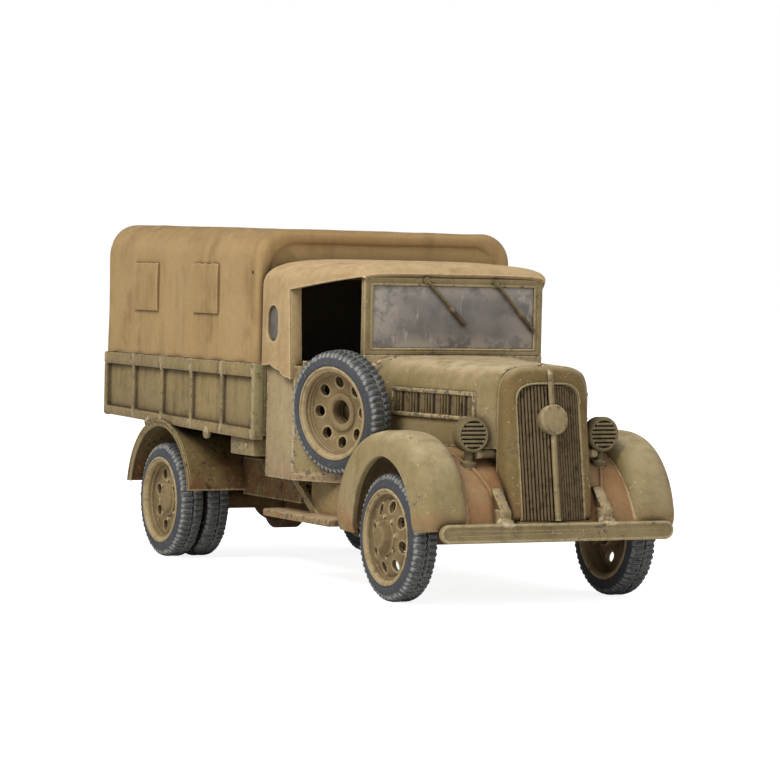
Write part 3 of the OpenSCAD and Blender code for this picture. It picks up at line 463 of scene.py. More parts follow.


# Canvas of the tilt; its upward faces are painted darker, which is painted shade on its top
tiltCanvas = makePaint("tiltCanvas", (174, 146, 102), (163, 135, 90), (84, 60, 34), (206, 182, 142),
                       patchSize=0.09, patchShare=0.6, streak=(120, 92, 56), streakShare=0.6,
                       streakWide=1.7, mottle=0.12, washAndShadeReach=1.9, rough=0.9, edgeReach=0.2,
                       paintedTopShading=(142, 115, 76), paintedTopShadingShare=0.75)
cabCanvas = makePaint("cabCanvas", (184, 158, 116), (172, 143, 102), (76, 54, 30), (214, 192, 152),
                      streak=(132, 100, 66), streakShare=0.6, streakWide=2.2, washAndShadeReach=1.6, rough=0.9,
                      paintedTopShading=(208, 182, 140), paintedTopShadingShare=0.6)
bodyKhaki = makePaint("bodyKhaki", (160, 142, 105), (134, 117, 72), (56, 40, 22), (200, 182, 142),
                      streak=(108, 86, 50), streakShare=0.5, dust=(146, 100, 62), dustShare=0.7, dustTop=14,
                      dustLow=8, chip=(84, 78, 74), chipShare=0.9, speck=(214, 192, 148), speckShare=0.8,
                      streakWide=1.5, paintedTopShading=(196, 176, 142), paintedTopShadingShare=0.85)
bedKhaki = makePaint("bedKhaki", (142, 125, 88), (158, 136, 92), (48, 34, 18), (178, 162, 126),
                     streak=(88, 68, 36), streakShare=0.7, streakWide=1.5, chip=(96, 88, 78), chipShare=0.8,
                     washAndShadeReach=2.1, speck=(200, 180, 128), speckShare=0.5, edgeReach=0.26)
fenderKhaki = makePaint("fenderKhaki", (160, 143, 106), (140, 124, 80), (56, 40, 22), (204, 186, 146),
                        streak=(112, 90, 54), streakShare=0.5, dust=(150, 98, 60), dustShare=0.85, dustTop=13,
                        dustLow=7.5, chip=(98, 90, 84), chipShare=0.75, loose=0.6, edgeReach=0.16,
                        speck=(212, 190, 146), speckShare=0.7, paintedTopShading=(190, 172, 136), paintedTopShadingShare=0.8)
trimKhaki = makePaint("trimKhaki", (152, 135, 98), (134, 118, 78), (50, 36, 20), (214, 198, 160),
                      streak=(102, 82, 48), streakShare=0.5, chip=(88, 80, 74), chipShare=0.9, loose=0.53,
                      speck=(212, 192, 148), speckShare=0.9, edgeReach=0.3, edgeShare=0.9)
cabKhaki = makePaint("cabKhaki", (170, 151, 117), (156, 137, 98), (58, 42, 24), (208, 192, 154),
                     streak=(122, 100, 64), streakShare=0.4, dust=(140, 92, 60), dustShare=0.6, dustTop=17,
                     dustLow=12.5, chip=(92, 80, 76), chipShare=0.9, speck=(210, 190, 146), speckShare=0.4,
                     paintedTopShading=(186, 168, 132), paintedTopShadingShare=0.5)
# Darker olive for the bed's front board and the front posts of the bed sides, partly painted shade on those
# front faces; the grille beads take it too
oliveShade = makePaint("oliveShade", (112, 100, 58), (128, 114, 72), (44, 34, 16), (168, 154, 114),
                       streak=(80, 66, 32), streakShare=0.5, chip=(150, 140, 110), chipShare=0.5)
# Rear fenders: a darker khaki than the front ones, partly painted shade for their front faces, with mud low
# down
mudAndShadeFender = makePaint("mudAndShadeFender", (124, 108, 68), (98, 82, 45), (36, 24, 12), (186, 170, 130),
                      mottle=0.7, streak=(88, 62, 34), streakShare=0.9, streakWide=1.4,
                      dust=(104, 64, 35), dustShare=1.0, dustTop=18, dustLow=10.5, chip=(48, 34, 21),
                      chipShare=0.8, loose=0.48, speck=(206, 168, 112), speckShare=0.95, bump=1.0,
                      washAndShadeReach=2.4)
chassisBrown = makePaint("chassisBrown", (96, 78, 48), (80, 60, 36), (30, 20, 12), (150, 128, 86),
                         dust=(136, 100, 62), dustShare=0.6, speck=(176, 150, 104), speckShare=0.5)
wheelKhaki = makePaint("wheelKhaki", (146, 126, 91), (112, 90, 57), (40, 26, 13), (200, 180, 138),
                       washAndShadeReach=2.0, washAndShadeShare=1.0, mottleSize=1.4, mottle=0.5, speck=(208, 184, 132),
                       speckShare=0.7)
tyreRubber = makePaint("tyreRubber", (76, 79, 84), (60, 62, 68), (20, 20, 21), (164, 164, 158),
                       washAndShadeReach=1.0, edgeShare=0.75, edgeReach=0.22, mottle=0.45,
                       speck=(176, 164, 138), speckShare=0.6, rough=0.65)
grilleBars = makePaint("grilleBars", (64, 51, 33), (53, 41, 27), (26, 19, 13), (124, 105, 76),
                       washAndShadeReach=0.9, edgeShare=0.7, streak=(116, 98, 72), streakShare=0.5)
grilleDark = makePaint("grilleDark", (44, 34, 24), (38, 29, 21), (20, 15, 10), (76, 62, 44), edgeShare=0.3)
louvreBars = makePaint("louvreBars", (74, 60, 38), (61, 49, 31), (24, 18, 11), (128, 110, 78), washAndShadeReach=0.6)
louvrePlate = makePaint("louvrePlate", (62, 50, 34), (54, 43, 29), (22, 16, 10), (104, 88, 62), washAndShadeReach=0.6)
lampOlive = makePaint("lampOlive", (118, 104, 72), (102, 90, 60), (36, 28, 17), (178, 162, 128),
                      washAndShadeReach=0.7, edgeReach=0.2, edgeShare=0.95, speck=(200, 184, 146), speckShare=0.5)
wiperGrey = makePaint("wiperGrey", (84, 72, 54), (74, 63, 47), (34, 27, 20), (148, 132, 104), washAndShadeReach=0.5)
wiperArm = makePaint("wiperArm", (100, 86, 60), (86, 74, 50), (36, 28, 18), (150, 134, 100), washAndShadeReach=0.5)
# Near-black brown for the seat, steering wheel, straps, eyelets and the dark sheet in the cab; inside the cab
# its darkness is partly painted shade
cabInside = makePaint("cabInside", (50, 39, 25), (42, 32, 20), (14, 10, 6), (92, 74, 50))


def makeScreenPaint(name, middle, halfX, halfZ):
    p = PaintNodes(name)
    split = p.add("ShaderNodeSeparateXYZ")
    p.join(p.spots, split.inputs[0])
    fromMiddle = p.add("ShaderNodeMath", operation="ABSOLUTE")
    p.join(split.outputs[0], fromMiddle.inputs[0])
    sideways = p.math("DIVIDE", fromMiddle.outputs[0], halfX)
    upward = p.add("ShaderNodeMath", operation="ABSOLUTE")
    p.join(p.math("SUBTRACT", split.outputs[2], middle), upward.inputs[0])
    upright = p.math("DIVIDE", upward.outputs[0], halfZ)
    rim = p.span(p.math("MAXIMUM", sideways, upright), 0.5, 1.0)
    cloud = p.grain(0.25, 5, 0.36, 0.62)
    slanted = p.scaled((1300, 1300, 420), (0, math.radians(-42), 0))
    scratches = p.math("MULTIPLY", p.grain(0.9, 6, 0.54, 0.66, slanted, 0.75), p.grain(0.3, 3, 0.42, 0.62))
    colour = p.mix(cloud, (108, 104, 101), (130, 124, 117))
    powder = p.math("MULTIPLY", rim, p.grain(0.4, 6, 0.42, 0.52, rough=0.7))
    colour = p.mix(p.math("MULTIPLY", powder, 0.9), colour, (176, 166, 153))
    colour = p.mix(p.math("MULTIPLY", scratches, 0.8), colour, (182, 174, 164))
    # Darker where the frame's hollows close over the pane: a brown wash and painted shade
    colour = p.mix(p.math("MULTIPLY", p.span(p.hollows(0.6), 0.16, 0.7), 0.85), colour, (84, 66, 46))
    p.join(colour, p.shader.inputs["Base Color"])
    p.shader.inputs["Roughness"].default_value = 0.55
    return p.paint


print("paints made")

# Wheels and tyres: outlines are (outwards along the axle, radius) from the middle of the tyre
tyreSize = {"radius": 8.0, "halfWidth": 1.8, "lugs": 60, "lugDepth": 0.36, "lugWidth": 0.5, "groove": 0.12}
discHoles = {"count": 8, "ring": 3.9, "radius": 0.76}
sideFlange = [(-1.72, 5.5), (-1.76, 5.95), (-1.6, 6.0), (-1.5, 5.62), (1.5, 5.62), (1.6, 6.0),
              (1.8, 6.04), (1.9, 5.92), (1.88, 5.74), (1.7, 5.62), (1.66, 5.45)]
discShapes = {
    "front": ([(1.45, 5.36), (1.2, 5.24), (1.05, 5.08), (1.0, 4.9), (1.14, 4.6), (1.36, 4.0), (1.52, 3.3),
               (1.6, 2.75), (1.62, 2.3), (1.78, 2.22), (1.86, 2.05), (1.86, 1.78), (2.0, 1.7), (2.6, 1.5),
               (2.8, 1.36), (2.86, 1.1), (2.86, 0.55), (2.78, 0.0)],
              [(1.2, 0.0), (1.2, 1.02), (-1.6, 1.02), (-1.6, 1.7), (0.6, 1.8), (0.85, 2.4), (0.9, 3.3),
               (0.7, 4.0), (0.5, 4.7), (0.4, 5.1), (-1.5, 5.2)]),
    "outer": ([(1.42, 5.36), (1.3, 5.22), (0.92, 5.18), (0.86, 5.04), (0.5, 5.0), (0.34, 4.84), (0.3, 4.5),
               (0.24, 3.4), (0.3, 2.7), (0.38, 2.36), (0.58, 2.28), (0.64, 2.1), (0.7, 1.9), (0.96, 1.7),
               (1.08, 1.4), (1.12, 0.9), (1.1, 0.0)],
              [(0.4, 0.0), (0.4, 1.02), (-2.18, 1.02), (-2.18, 1.95), (-0.6, 2.0), (-0.45, 2.6), (-0.45, 3.4),
               (-0.45, 4.4), (-0.5, 5.0), (-1.5, 5.2)]),
    "inner": ([(1.45, 5.36), (1.2, 5.24), (1.05, 5.08), (1.0, 4.9), (1.12, 4.4), (1.3, 3.4), (1.38, 2.6),
               (1.5, 2.1), (1.78, 1.95), (1.78, 1.02)],
              [(-1.6, 1.02), (-1.6, 1.9), (0.5, 2.0), (0.75, 2.8), (0.78, 3.4), (0.6, 4.4), (0.42, 5.1),
               (-1.5, 5.2)]),
    "spare": ([(1.45, 5.38), (1.34, 5.26), (1.02, 5.22), (0.96, 5.06), (0.66, 5.02), (0.6, 4.88), (0.4, 4.84),
               (0.34, 4.68), (0.24, 4.4), (0.08, 3.8), (-0.06, 3.1), (-0.1, 2.7), (-0.04, 2.52), (0.14, 2.46),
               (0.26, 2.3), (0.28, 1.94), (0.2, 1.7), (0.02, 1.56), (-1.6, 1.5)],
              [(-1.6, 2.1), (-0.8, 2.2), (-0.7, 2.6), (-0.6, 3.4), (-0.5, 4.4), (-0.5, 4.95), (-1.5, 5.2)])}
wheelNuts = {"count": 8, "radius": 0.26, "front": {"ring": 2.56, "x": 1.62},
             "outer": {"ring": 2.72, "x": 0.38}}


def makeTyre(name):
    s = tyreSize
    r, w = s["radius"], s["halfWidth"]
    half = [(0.0, r - 0.5), (s["groove"], r - 0.5), (s["groove"] + 0.04, r - 0.3), (0.9, r - 0.3),
            (1.24, r - 0.4), (1.48, r - 0.6), (1.66, r - 0.9), (w - 0.03, r - 1.3), (w - 0.02, r - 1.55),
            (w, r - 1.62), (w - 0.04, r - 1.78), (w - 0.08, r - 1.84), (w - 0.05, r - 1.92),
            (w - 0.2, r - 2.2), (1.5, 5.66)]
    outline = half + [(-x, radius) for x, radius in reversed(half[1:])]
    body = lathePiece(name, outline, tyreRubber, 96, 50)
    lugs = []
    wide = s["lugWidth"] / 2
    places = [(s["groove"] + 0.06, 0.0), (0.8, 0.0), (1.1, 0.07), (1.32, 0.2), (1.46, 0.42)]
    for side, first in ((1, 0.0), (-1, 180 / s["lugs"])):
        rings = []
        for x, fall in places:
            slant = side * 0.1 * (x - 0.9)
            top, low = r - fall, r - fall - s["lugDepth"] - 0.12
            head = side * (x + min(1, fall / 0.5) * 0.072)
            rings.append([(side * x, -wide + slant, low), (head, -wide * 0.78 + slant, top),
                          (head, wide * 0.78 + slant, top), (side * x, wide + slant, low)])
        lug = movePiece(toOrigin(loftPiece("lug", rings, tyreRubber)), turnBy(first, "X"))
        bevelPiece(lug, 0.07, 1, 40)
        lugs.append(repeatPart("lugs", lug, s["lugs"], tyreRubber, turn=(360 / s["lugs"], 0, 0), wobble=0.5,
                               seed=3 + side))
    return joinPieces(name, [body] + lugs)


def makeWheel(name, kind):
    face, back = discShapes[kind]
    wheel = lathePiece(name, sideFlange + face + back, wheelKhaki, 96, 28)
    holes = []
    for i in range(discHoles["count"]):
        turn = 2 * math.pi * (i + 0.5) / discHoles["count"]
        r, ring = discHoles["radius"], discHoles["ring"] * mm
        hole = lathePiece("hole", [(-2.5, 0), (2.6, 0), (2.6, r), (-2.5, r)], wheelKhaki, 20)
        holes.append(movePiece(hole, Matrix.Translation((0, ring * math.sin(turn), ring * math.cos(turn)))))
    cutPiece(wheel, joinPieces("holes", holes))
    bevelPiece(wheel, 0.07, 2, 50)
    if kind not in wheelNuts:
        return wheel
    x, r = wheelNuts[kind]["x"], wheelNuts["radius"]
    nut = lathePiece("nut", [(x - 0.4, 0), (x + 0.2, 0), (x + 0.26, r * 0.5), (x + 0.22, r), (x - 0.4, r)],
                     wheelKhaki, 6, 40)
    movePiece(nut, Matrix.Translation((0, 0, wheelNuts[kind]["ring"] * mm)))
    nuts = repeatPart("nuts", nut, wheelNuts["count"], wheelKhaki, turn=(360 / wheelNuts["count"], 0, 0))
    return joinPieces(name, [wheel, nuts])


wheels = {"twinStep": 2.0, "frontTurn": 9, "outerTurn": 4, "innerTurn": 15}


def makeWheels(side, label):
    low = label.lower()

    def place(x, y, kind):
        return placeAt(x, y, axleZ) @ facing(side) @ turnBy(wheels[kind + "Turn"], "X")

    front, body = place(hinges[f"front_wheel_{low}_spin"].x, 0, "front"), f"front_wheel_{low}_body"
    tyre, disc = makeTyre("frontTyre" + label), makeWheel("frontWheel" + label, "front")
    settle(movePiece(tyre, front), "tyre_paint", body, ["front_tyre_" + low])
    settle(movePiece(disc, front), "wheel_paint", body, ["front_wheel_" + low])
    tyres, discs = [], []
    for kind, shift in (("outer", wheels["twinStep"]), ("inner", -wheels["twinStep"])):
        rear = place(hinges[f"rear_pair_{low}_spin"].x + side * shift, wheelbase, kind)
        tyres.append(movePiece(makeTyre("tyre"), rear))
        discs.append(movePiece(makeWheel("wheel", kind), rear))
    body = f"rear_pair_{low}_body"
    settle(joinPieces("rearTyres" + label, tyres), "tyre_paint", body, ["rear_tyres_" + low])
    settle(joinPieces("rearWheels" + label, discs), "wheel_paint", body, ["rear_wheels_" + low])


for side, label in sides:
    makeWheels(side, label)

spare = {"middle": (-17.0, 16.4, 22.5), "turn": 17, "lean": 5, "roll": 22.5}
sparePlace = (placeAt(*spare["middle"]) @ turnBy(spare["turn"]) @ turnBy(-spare["lean"], "Y")
              @ Matrix.Translation((tyreSize["halfWidth"] * mm, 0, 0))
              @ turnBy(180) @ turnBy(spare["roll"], "X"))
settle(movePiece(makeTyre("spareTyre"), sparePlace), "tyre_paint", stands=["spare_tyre"])
settle(movePiece(makeWheel("spareWheel", "spare"), sparePlace), "wheel_paint", stands=["spare_wheel"])
print("wheels made")

# Chassis, bed and cab pieces that keep the frame's own shapes, with soft edges
for name, node, paint, slot, width in (
        ("frameRails", "frame_rails", chassisBrown, "chassis_paint", 0.14),
        ("crossMembers", "cross_members", chassisBrown, "chassis_paint", 0.12),
        ("frontAxle", "front_axle", chassisBrown, "chassis_paint", 0.12),
        ("rearAxle", "rear_axle", chassisBrown, "chassis_paint", 0.14),
        ("leafSprings", "leaf_springs", chassisBrown, "chassis_paint", 0.08),
        ("propShaft", "prop_shaft", chassisBrown, "chassis_paint", 0.16),
        ("bedBearers", "bed_bearers", chassisBrown, "chassis_paint", 0.14),
        ("bedFrontBoard", "bed_front_board", oliveShade, "body_paint", 0.14),
        ("tailgate", "tailgate", bedKhaki, "body_paint", 0.14),
        ("toolBox", "tool_box", trimKhaki, "body_paint", 0.22),
        ("runningBoardLeft", "running_board_left", bodyKhaki, "body_paint", 0.16),
        ("runningBoardRight", "running_board_right", bodyKhaki, "body_paint", 0.16),
        ("rearFenderLeft", "rear_fender_left", mudAndShadeFender, "body_paint", 0.16),
        ("rearFenderRight", "rear_fender_right", mudAndShadeFender, "body_paint", 0.16),
        ("cabShell", "cab_shell", cabKhaki, "body_paint", 0.2),
        ("cabDoorLeft", "cab_door_left", bodyKhaki, "body_paint", 0.18),
        ("cabDoorRight", "cab_door_right", bodyKhaki, "body_paint", 0.14),
        ("seatBench", "seat", cabInside, "cab_inside_paint", 0.5),
        ("steeringWheel", "steering_wheel", cabInside, "cab_inside_paint", 0.05),
        ("tiltHoops", "tilt_hoops", chassisBrown, "chassis_paint", 0.12)):
    piece = softCopy(name, node, paint, slot, width)
    if name == "frameRails":
        railHorns = piece

# The rails' ends in front of the axle are painted like the body
hornsEnd = -6.5
railHorns.data.materials.append(bodyKhaki)
for face in railHorns.data.polygons:
    if face.center.y / mm - axleY < hornsEnd:
        face.material_index = 1

tray = {"low": (-5.2, -12.25, 9.2), "high": (5.2, -8.6, 10.62)}
settle(softBox("frontTray", tray["low"], tray["high"], chassisBrown), "chassis_paint")

rearArch = {"radius": 10.85, "x": 19.64, "low": 11, "bead": 0.3}
toolBoxLow, toolBoxHigh = span("tool_box")


# Raised rim of the rear fender, and the lock on the tool box
def makeRearTrims(side, label):
    path = []
    for i in range(41):
        a = math.radians(rearArch["low"] + (180 - 2 * rearArch["low"]) * i / 40)
        path.append((side * rearArch["x"], wheelbase + rearArch["radius"] * math.cos(a),
                     axleZ + rearArch["radius"] * math.sin(a)))
    settle(barPiece("rearArch" + label, path, rearArch["bead"], trimKhaki, 12, 1.6), "body_paint")
    bolt = lathePiece("toolBoxBolt" + label,
                      [(-0.3, 0), (0.16, 0), (0.2, 0.2), (0.1, 0.34), (-0.3, 0.36)], trimKhaki, 16)
    middle = placeAt(side * toolBoxHigh.x, toolBoxLow.y + 2.1, (toolBoxLow.z + toolBoxHigh.z) / 2)
    settle(movePiece(bolt, middle @ facing(side)), "body_paint")


for side, label in sides:
    makeRearTrims(side, label)

# A thin near-black sheet just in front of the cab's rear wall, inside: partly the dark paint of the inside
# and partly painted shade
darkSheet = {"low": (-17.2, 32.25, 14.2), "high": (17.2, 32.62, 39.4)}
settle(softBox("cabLining", darkSheet["low"], darkSheet["high"], cabInside, 0.1), "cab_inside_paint")
print("chassis, bed and cab made")

bedSide = {"band": 1.9, "lowBand": 1.43, "rib": 1.1, "ribs": 6, "board": 0.8, "proud": 0.7, "climb": 1.1}


def makeBedSide(name, side, node):
    low, high = span(node)
    s = bedSide
    outer = max(abs(low.x), abs(high.x))
    face = outer - s["proud"]

    def bar(y0, y1, z0, z1, x0, x1, round):
        return sideBox("bar", side, (x0, x1), (y0, y1), (z0, z1), bedKhaki, round)

    parts = [bar(low.y + 0.05, high.y - 0.05, low.z + 0.05, high.z - 0.05, face - s["board"], face, 0.1),
             bar(low.y, high.y, high.z - s["band"], high.z, face - 0.1, outer, 0.26),
             bar(low.y + 0.02, high.y - 0.02, low.z, low.z + s["lowBand"], face - 0.15, outer - 0.02, 0.24)]
    step = (high.y - low.y - s["rib"]) / (s["ribs"] - 1)
    for i in range(s["ribs"]):
        y = low.y + i * step
        inset = 0.08 if 0 < i < s["ribs"] - 1 else 0.04
        parts.append(bar(y + inset, y + s["rib"] - inset, low.z + 0.08, high.z - 0.08, face - 0.2,
                         outer - inset, 0.24))
    for y in (low.y + 1.5 * step, low.y + 3.5 * step):
        tab = lathePiece("tab", [(-0.3, 0), (0.12, 0), (0.2, 0.5), (0.1, 0.86), (-0.3, 0.86)], bedKhaki, 24)
        parts.append(movePiece(tab, placeAt(side * (outer - 0.1), y, low.z - 0.1) @ facing(side)))
    # Front post of the side in the darker olive: partly painted shade on the side's front end
    parts.append(sideBox("post", side, (face - s["board"] - 0.02, outer - 0.01), (low.y - 0.04, low.y + 0.7),
                         (low.z + 0.02, high.z - 0.02), oliveShade, 0.16))
    whole = joinPieces(name, parts)
    for v in whole.data.vertices:                      # the lower edge climbs towards the tail
        share = (v.co.y / mm - axleY - low.y) / (high.y - low.y)
        v.co.z += s["climb"] * share * (1 - min(1, (v.co.z / mm - low.z) / (high.z - low.z))) * mm
    settle(whole, "body_paint", stands=[node])


makeBedSide("bedSideLeft", 1, "bed_side_left")
makeBedSide("bedSideRight", -1, "bed_side_right")

# Planks over the bed's floor
floorLow, floorHigh = span("bed_floor")
floorSize = floorHigh - floorLow
planks = {"count": 12, "gap": 0.22, "under": 0.4}
plankWide = floorSize.x / planks["count"]
plank = toOrigin(softBox("plank", (0, 0, 0), (plankWide - planks["gap"], floorSize.y, floorSize.z),
                         chassisBrown, 0.08))
bedPlanks = repeatPart("bedPlanks", plank, planks["count"], chassisBrown, step=(plankWide, 0, 0))
movePiece(bedPlanks, placeAt(floorLow.x + planks["gap"] / 2, floorLow.y, floorLow.z))
underBoard = softBox("underBoard", floorLow, (floorHigh.x, floorHigh.y, floorLow.z + planks["under"]),
                     chassisBrown, 0.05)
settle(joinPieces("bedFloor", [bedPlanks, underBoard]), "chassis_paint", stands=["bed_floor"])
print("load bed made")

# Canvas cover over the load bed
cover = {"corner": 4.2, "hoops": (34.9, 46.8, 56.6, 66.2, 76.8, 86.4), "sag": 0.24, "wrinkle": 0.09,
         "hem": 0.12, "rearDrop": 0.5, "rearIn": 0.25, "rim": 0.8, "dip": 0.4, "thick": 0.8, "climb": 0.8}
coverLow, coverHigh = span("tilt_cover")
coverHalf = coverHigh.x


def coverSag(y):
    hoops = cover["hoops"]
    for a, b in zip(hoops, hoops[1:]):
        if a <= y <= b:
            return cover["sag"] * math.sin(math.pi * (y - a) / (b - a)) ** 0.8
    return 0


# Point of the cover's outline: share 0 to 1 runs from the right hem over the top to the left hem
def coverOutline(share, y, inset=0.0):
    side = -1 if share < 0.5 else 1
    s = min(share, 1 - share) * 2
    half, r = coverHalf - inset, cover["corner"]
    top = coverHigh.z - inset - cover["climb"] * (coverHigh.y - y) / (coverHigh.y - coverLow.y)
    back = max(0, (y - (coverHigh.y - cover["rearDrop"])) / cover["rearDrop"])
    drop = cover["rearDrop"] * (1 - math.sqrt(max(0, 1 - back * back)))
    half -= cover["rearIn"] * back * back
    top -= drop
    low = coverLow.z + cover["hem"] * noise.noise(Vector((side * 9, y * 0.45, 3)))
    side0, bend = top - r - low, math.pi / 2 * r
    total = side0 + bend + half - r
    run = s * total
    if run < side0:
        x, z, lean = half, low + run, 0
    elif run < side0 + bend:
        turn = (run - side0) / r
        x, z, lean = half - r + r * math.cos(turn), top - r + r * math.sin(turn), turn
    else:
        x, z, lean = half - r - (run - side0 - bend), top, math.pi / 2
    rise = clamp((z - low) / 6)
    dent = coverSag(y) * (0.35 + 0.65 * rise)
    dent += cover["wrinkle"] * noise.noise(Vector((side * x * 0.2, y * 0.35, z * 0.12)) * 1.4)
    dent -= 0.12 * (1 - rise) * math.sin(y * 0.9)
    return side * (x - dent * math.cos(lean)), z - dent * math.sin(lean)


def makeCover():
    around = 121
    front, rear = coverLow.y, coverHigh.y
    rings = []
    for i in range(66):
        y = rear - (rear - front - cover["rim"]) * (i / 65)
        rings.append([(x, y, z) for x, z in (coverOutline(k / (around - 1), y) for k in range(around))])
    rim = cover["rim"]
    turns = [math.radians(turn) for turn in (25, 50, 75, 90)]
    rounded = [(rim * (1 - math.cos(t)), rim * (1 - math.sin(t))) for t in turns]
    for inset, back in rounded + [(1.5, 0.02), (1.75, 0.2), (1.95, cover["dip"])]:
        rings.append([(x, front + back, z) for x, z in
                      (coverOutline(k / (around - 1), front + rim, inset) for k in range(around))])
    edge = rings[-1]
    for scale in (0.85, 0.68, 0.5, 0.32, 0.14, 0.001):
        ring = []
        for x, y, z in edge:
            px, pz = x * scale, coverLow.z + (z - coverLow.z) * scale
            ring.append((px, y + 0.12 * noise.noise(Vector((px, 2, pz)) * 0.22), pz))
        rings.append(ring)
    faces = bridgeRings(len(rings), around, False)
    piece = newPiece("tiltCover", [p for ring in rings for p in ring], faces, tiltCanvas, 60)
    return bevelPiece(thickenPiece(piece, cover["thick"], 60), 0.16, 2, 60)


settle(makeCover(), "canvas_paint", stands=["tilt_cover", "tilt_front_panel"])

flaps = {"proud": 0.42, "wide": 8.4, "tall": 6.8, "low": 34.6, "starts": (47.2, 67.9)}


def makeFlap(side, start):
    steps = 14
    points = []
    upright = coverHigh.z - cover["corner"] - coverLow.z
    total = upright + math.pi / 2 * cover["corner"] + coverHalf - cover["corner"]
    for i in range(steps + 1):
        for j in range(steps + 1):
            y = start + flaps["wide"] * i / steps
            z = flaps["low"] + flaps["tall"] * j / steps
            top = 0.18 * noise.noise(Vector((i * 0.5, side * 3, start))) * (j == steps)
            x = abs(coverOutline(max(side, 0) - side * (z - coverLow.z) / total / 2, y)[0])
            puff = flaps["proud"] * (0.8 + 0.2 * math.sin(math.pi * j / steps))
            points.append((side * (x + puff), y, z + top))
    faces = bridgeRings(steps + 1, steps + 1, False)
    if side > 0:
        faces = [tuple(reversed(f)) for f in faces]    # so that they face outwards
    mesh = bpy.data.meshes.new("flap")
    mesh.from_pydata([at(*p) for p in points], [], faces)
    flap = thickenPiece(addPiece("flap", mesh, tiltCanvas), flaps["proud"] + 0.3)
    mend(flap.data)
    return bevelPiece(flap, 0.12, 2, 50)


settle(joinPieces("tiltFlaps", [makeFlap(s, y) for s in (-1, 1) for y in flaps["starts"]]), "canvas_paint",
       stands=["tilt_flaps"])

eyelet = {"y": 36.3, "share": 0.17}                   # share of the way from the hem over the top


def makeEyelet(side):
    x, z = coverOutline(eyelet["share"] if side < 0 else 1 - eyelet["share"], eyelet["y"])
    shape = [(-0.1, 0.0), (0.05, 0.0), (0.05, 0.12), (0.1, 0.2), (0.02, 0.28), (-0.1, 0.28)]
    ring = lathePiece("ring", shape, cabInside, 16)
    return movePiece(ring, placeAt(x, eyelet["y"], z) @ facing(side))


settle(joinPieces("tiltEyelets", [makeEyelet(side) for side in (-1, 1)]), "canvas_paint")

# The rolled rear curtain and the straps round it
curtain = {"middle": (84.4, 41.2), "radius": 1.15, "half": 14.0, "straps": 4, "crease": 0.16}


def makeCurtain():
    rings = []
    for i in range(41):
        x = -curtain["half"] + 2 * curtain["half"] * i / 40
        ring = []
        for k in range(28):
            t = 2 * math.pi * k / 28
            lump = 0.05 * noise.noise(Vector((x * 0.5, math.cos(t) * 2, math.sin(t) * 2)))
            r = curtain["radius"] * (1 + lump) - (curtain["crease"] if k == 5 else 0)
            ring.append((x, curtain["middle"][0] + r * math.cos(t), curtain["middle"][1] + r * math.sin(t)))
        rings.append(ring)
    return loftPiece("rolledCurtain", rings, tiltCanvas, 70)


strap = lathePiece("strap", [(-0.4, 1.05), (0.4, 1.05), (0.42, 1.26), (-0.42, 1.26)], cabInside, 32)
straps = repeatPart("straps", strap, curtain["straps"], cabInside, step=(2 * curtain["half"] / 4.4, 0, 0))
movePiece(straps, placeAt(-curtain["half"] * 0.68, *curtain["middle"]))
settle(joinPieces("rolledCurtain", [makeCurtain(), straps]), "canvas_paint", stands=["rolled_curtain"])
print("canvas cover made")

# Canvas roof of the cab; the screen meets it, and the widest place is over the doors
roof = {"front": 14.9, "screen": 15.2, "wide": 26.45, "pillar": 25.9, "rear": 33.5, "top": 41.9, "low": 28.35,
        "lip": 40.12, "seam": 38.2, "thick": 0.8, "frontHalf": 13.5, "rearHalf": 18.9, "tip": (25.1, 26.5),
        "climb": 0.5, "droop": 0.9, "backSeam": 28.2}
sideSlot = {"y": 30.4, "z": 33.7, "radius": 1.6, "straight": 0.8,
            "pane": ((18.25, 18.5), (28.4, 32.4), (30.9, 36.5))}


def roofHalf(y):
    t = clamp((y - roof["screen"]) / (roof["wide"] - roof["screen"]))
    share = 0.3 * math.sin(math.pi / 2 * t) + 0.7 * t
    return roof["frontHalf"] + (roof["rearHalf"] - roof["frontHalf"]) * share


def roofTop(y):
    climb = roof["climb"] * max(0, (y - roof["screen"]) / (roof["rear"] - roof["screen"]))
    droop = roof["droop"] * max(0, 1 - (y - roof["front"] - 0.3) / 3) ** 2
    return roof["top"] + climb - droop - 0.06 * math.sin((y - 15) * 0.42) ** 2


# Lower edge of the roof beside the doors, from the lip over the screen down to the quarter
def valance(y):
    t = clamp((y - roof["front"]) / (roof["pillar"] - roof["front"]))
    return roof["lip"] + (roof["seam"] - roof["lip"]) * t ** 1.15


# Lower edge of the rear quarter: a pointed tip in front, then two shallow scallops
def quarterLow(t):
    tip = roof["tip"][1]
    return tip + (roof["low"] - tip) * min(1, (t / 0.72)) ** 0.8 - 0.22 * abs(math.sin(t * 8.5)) * (t > 0.1)


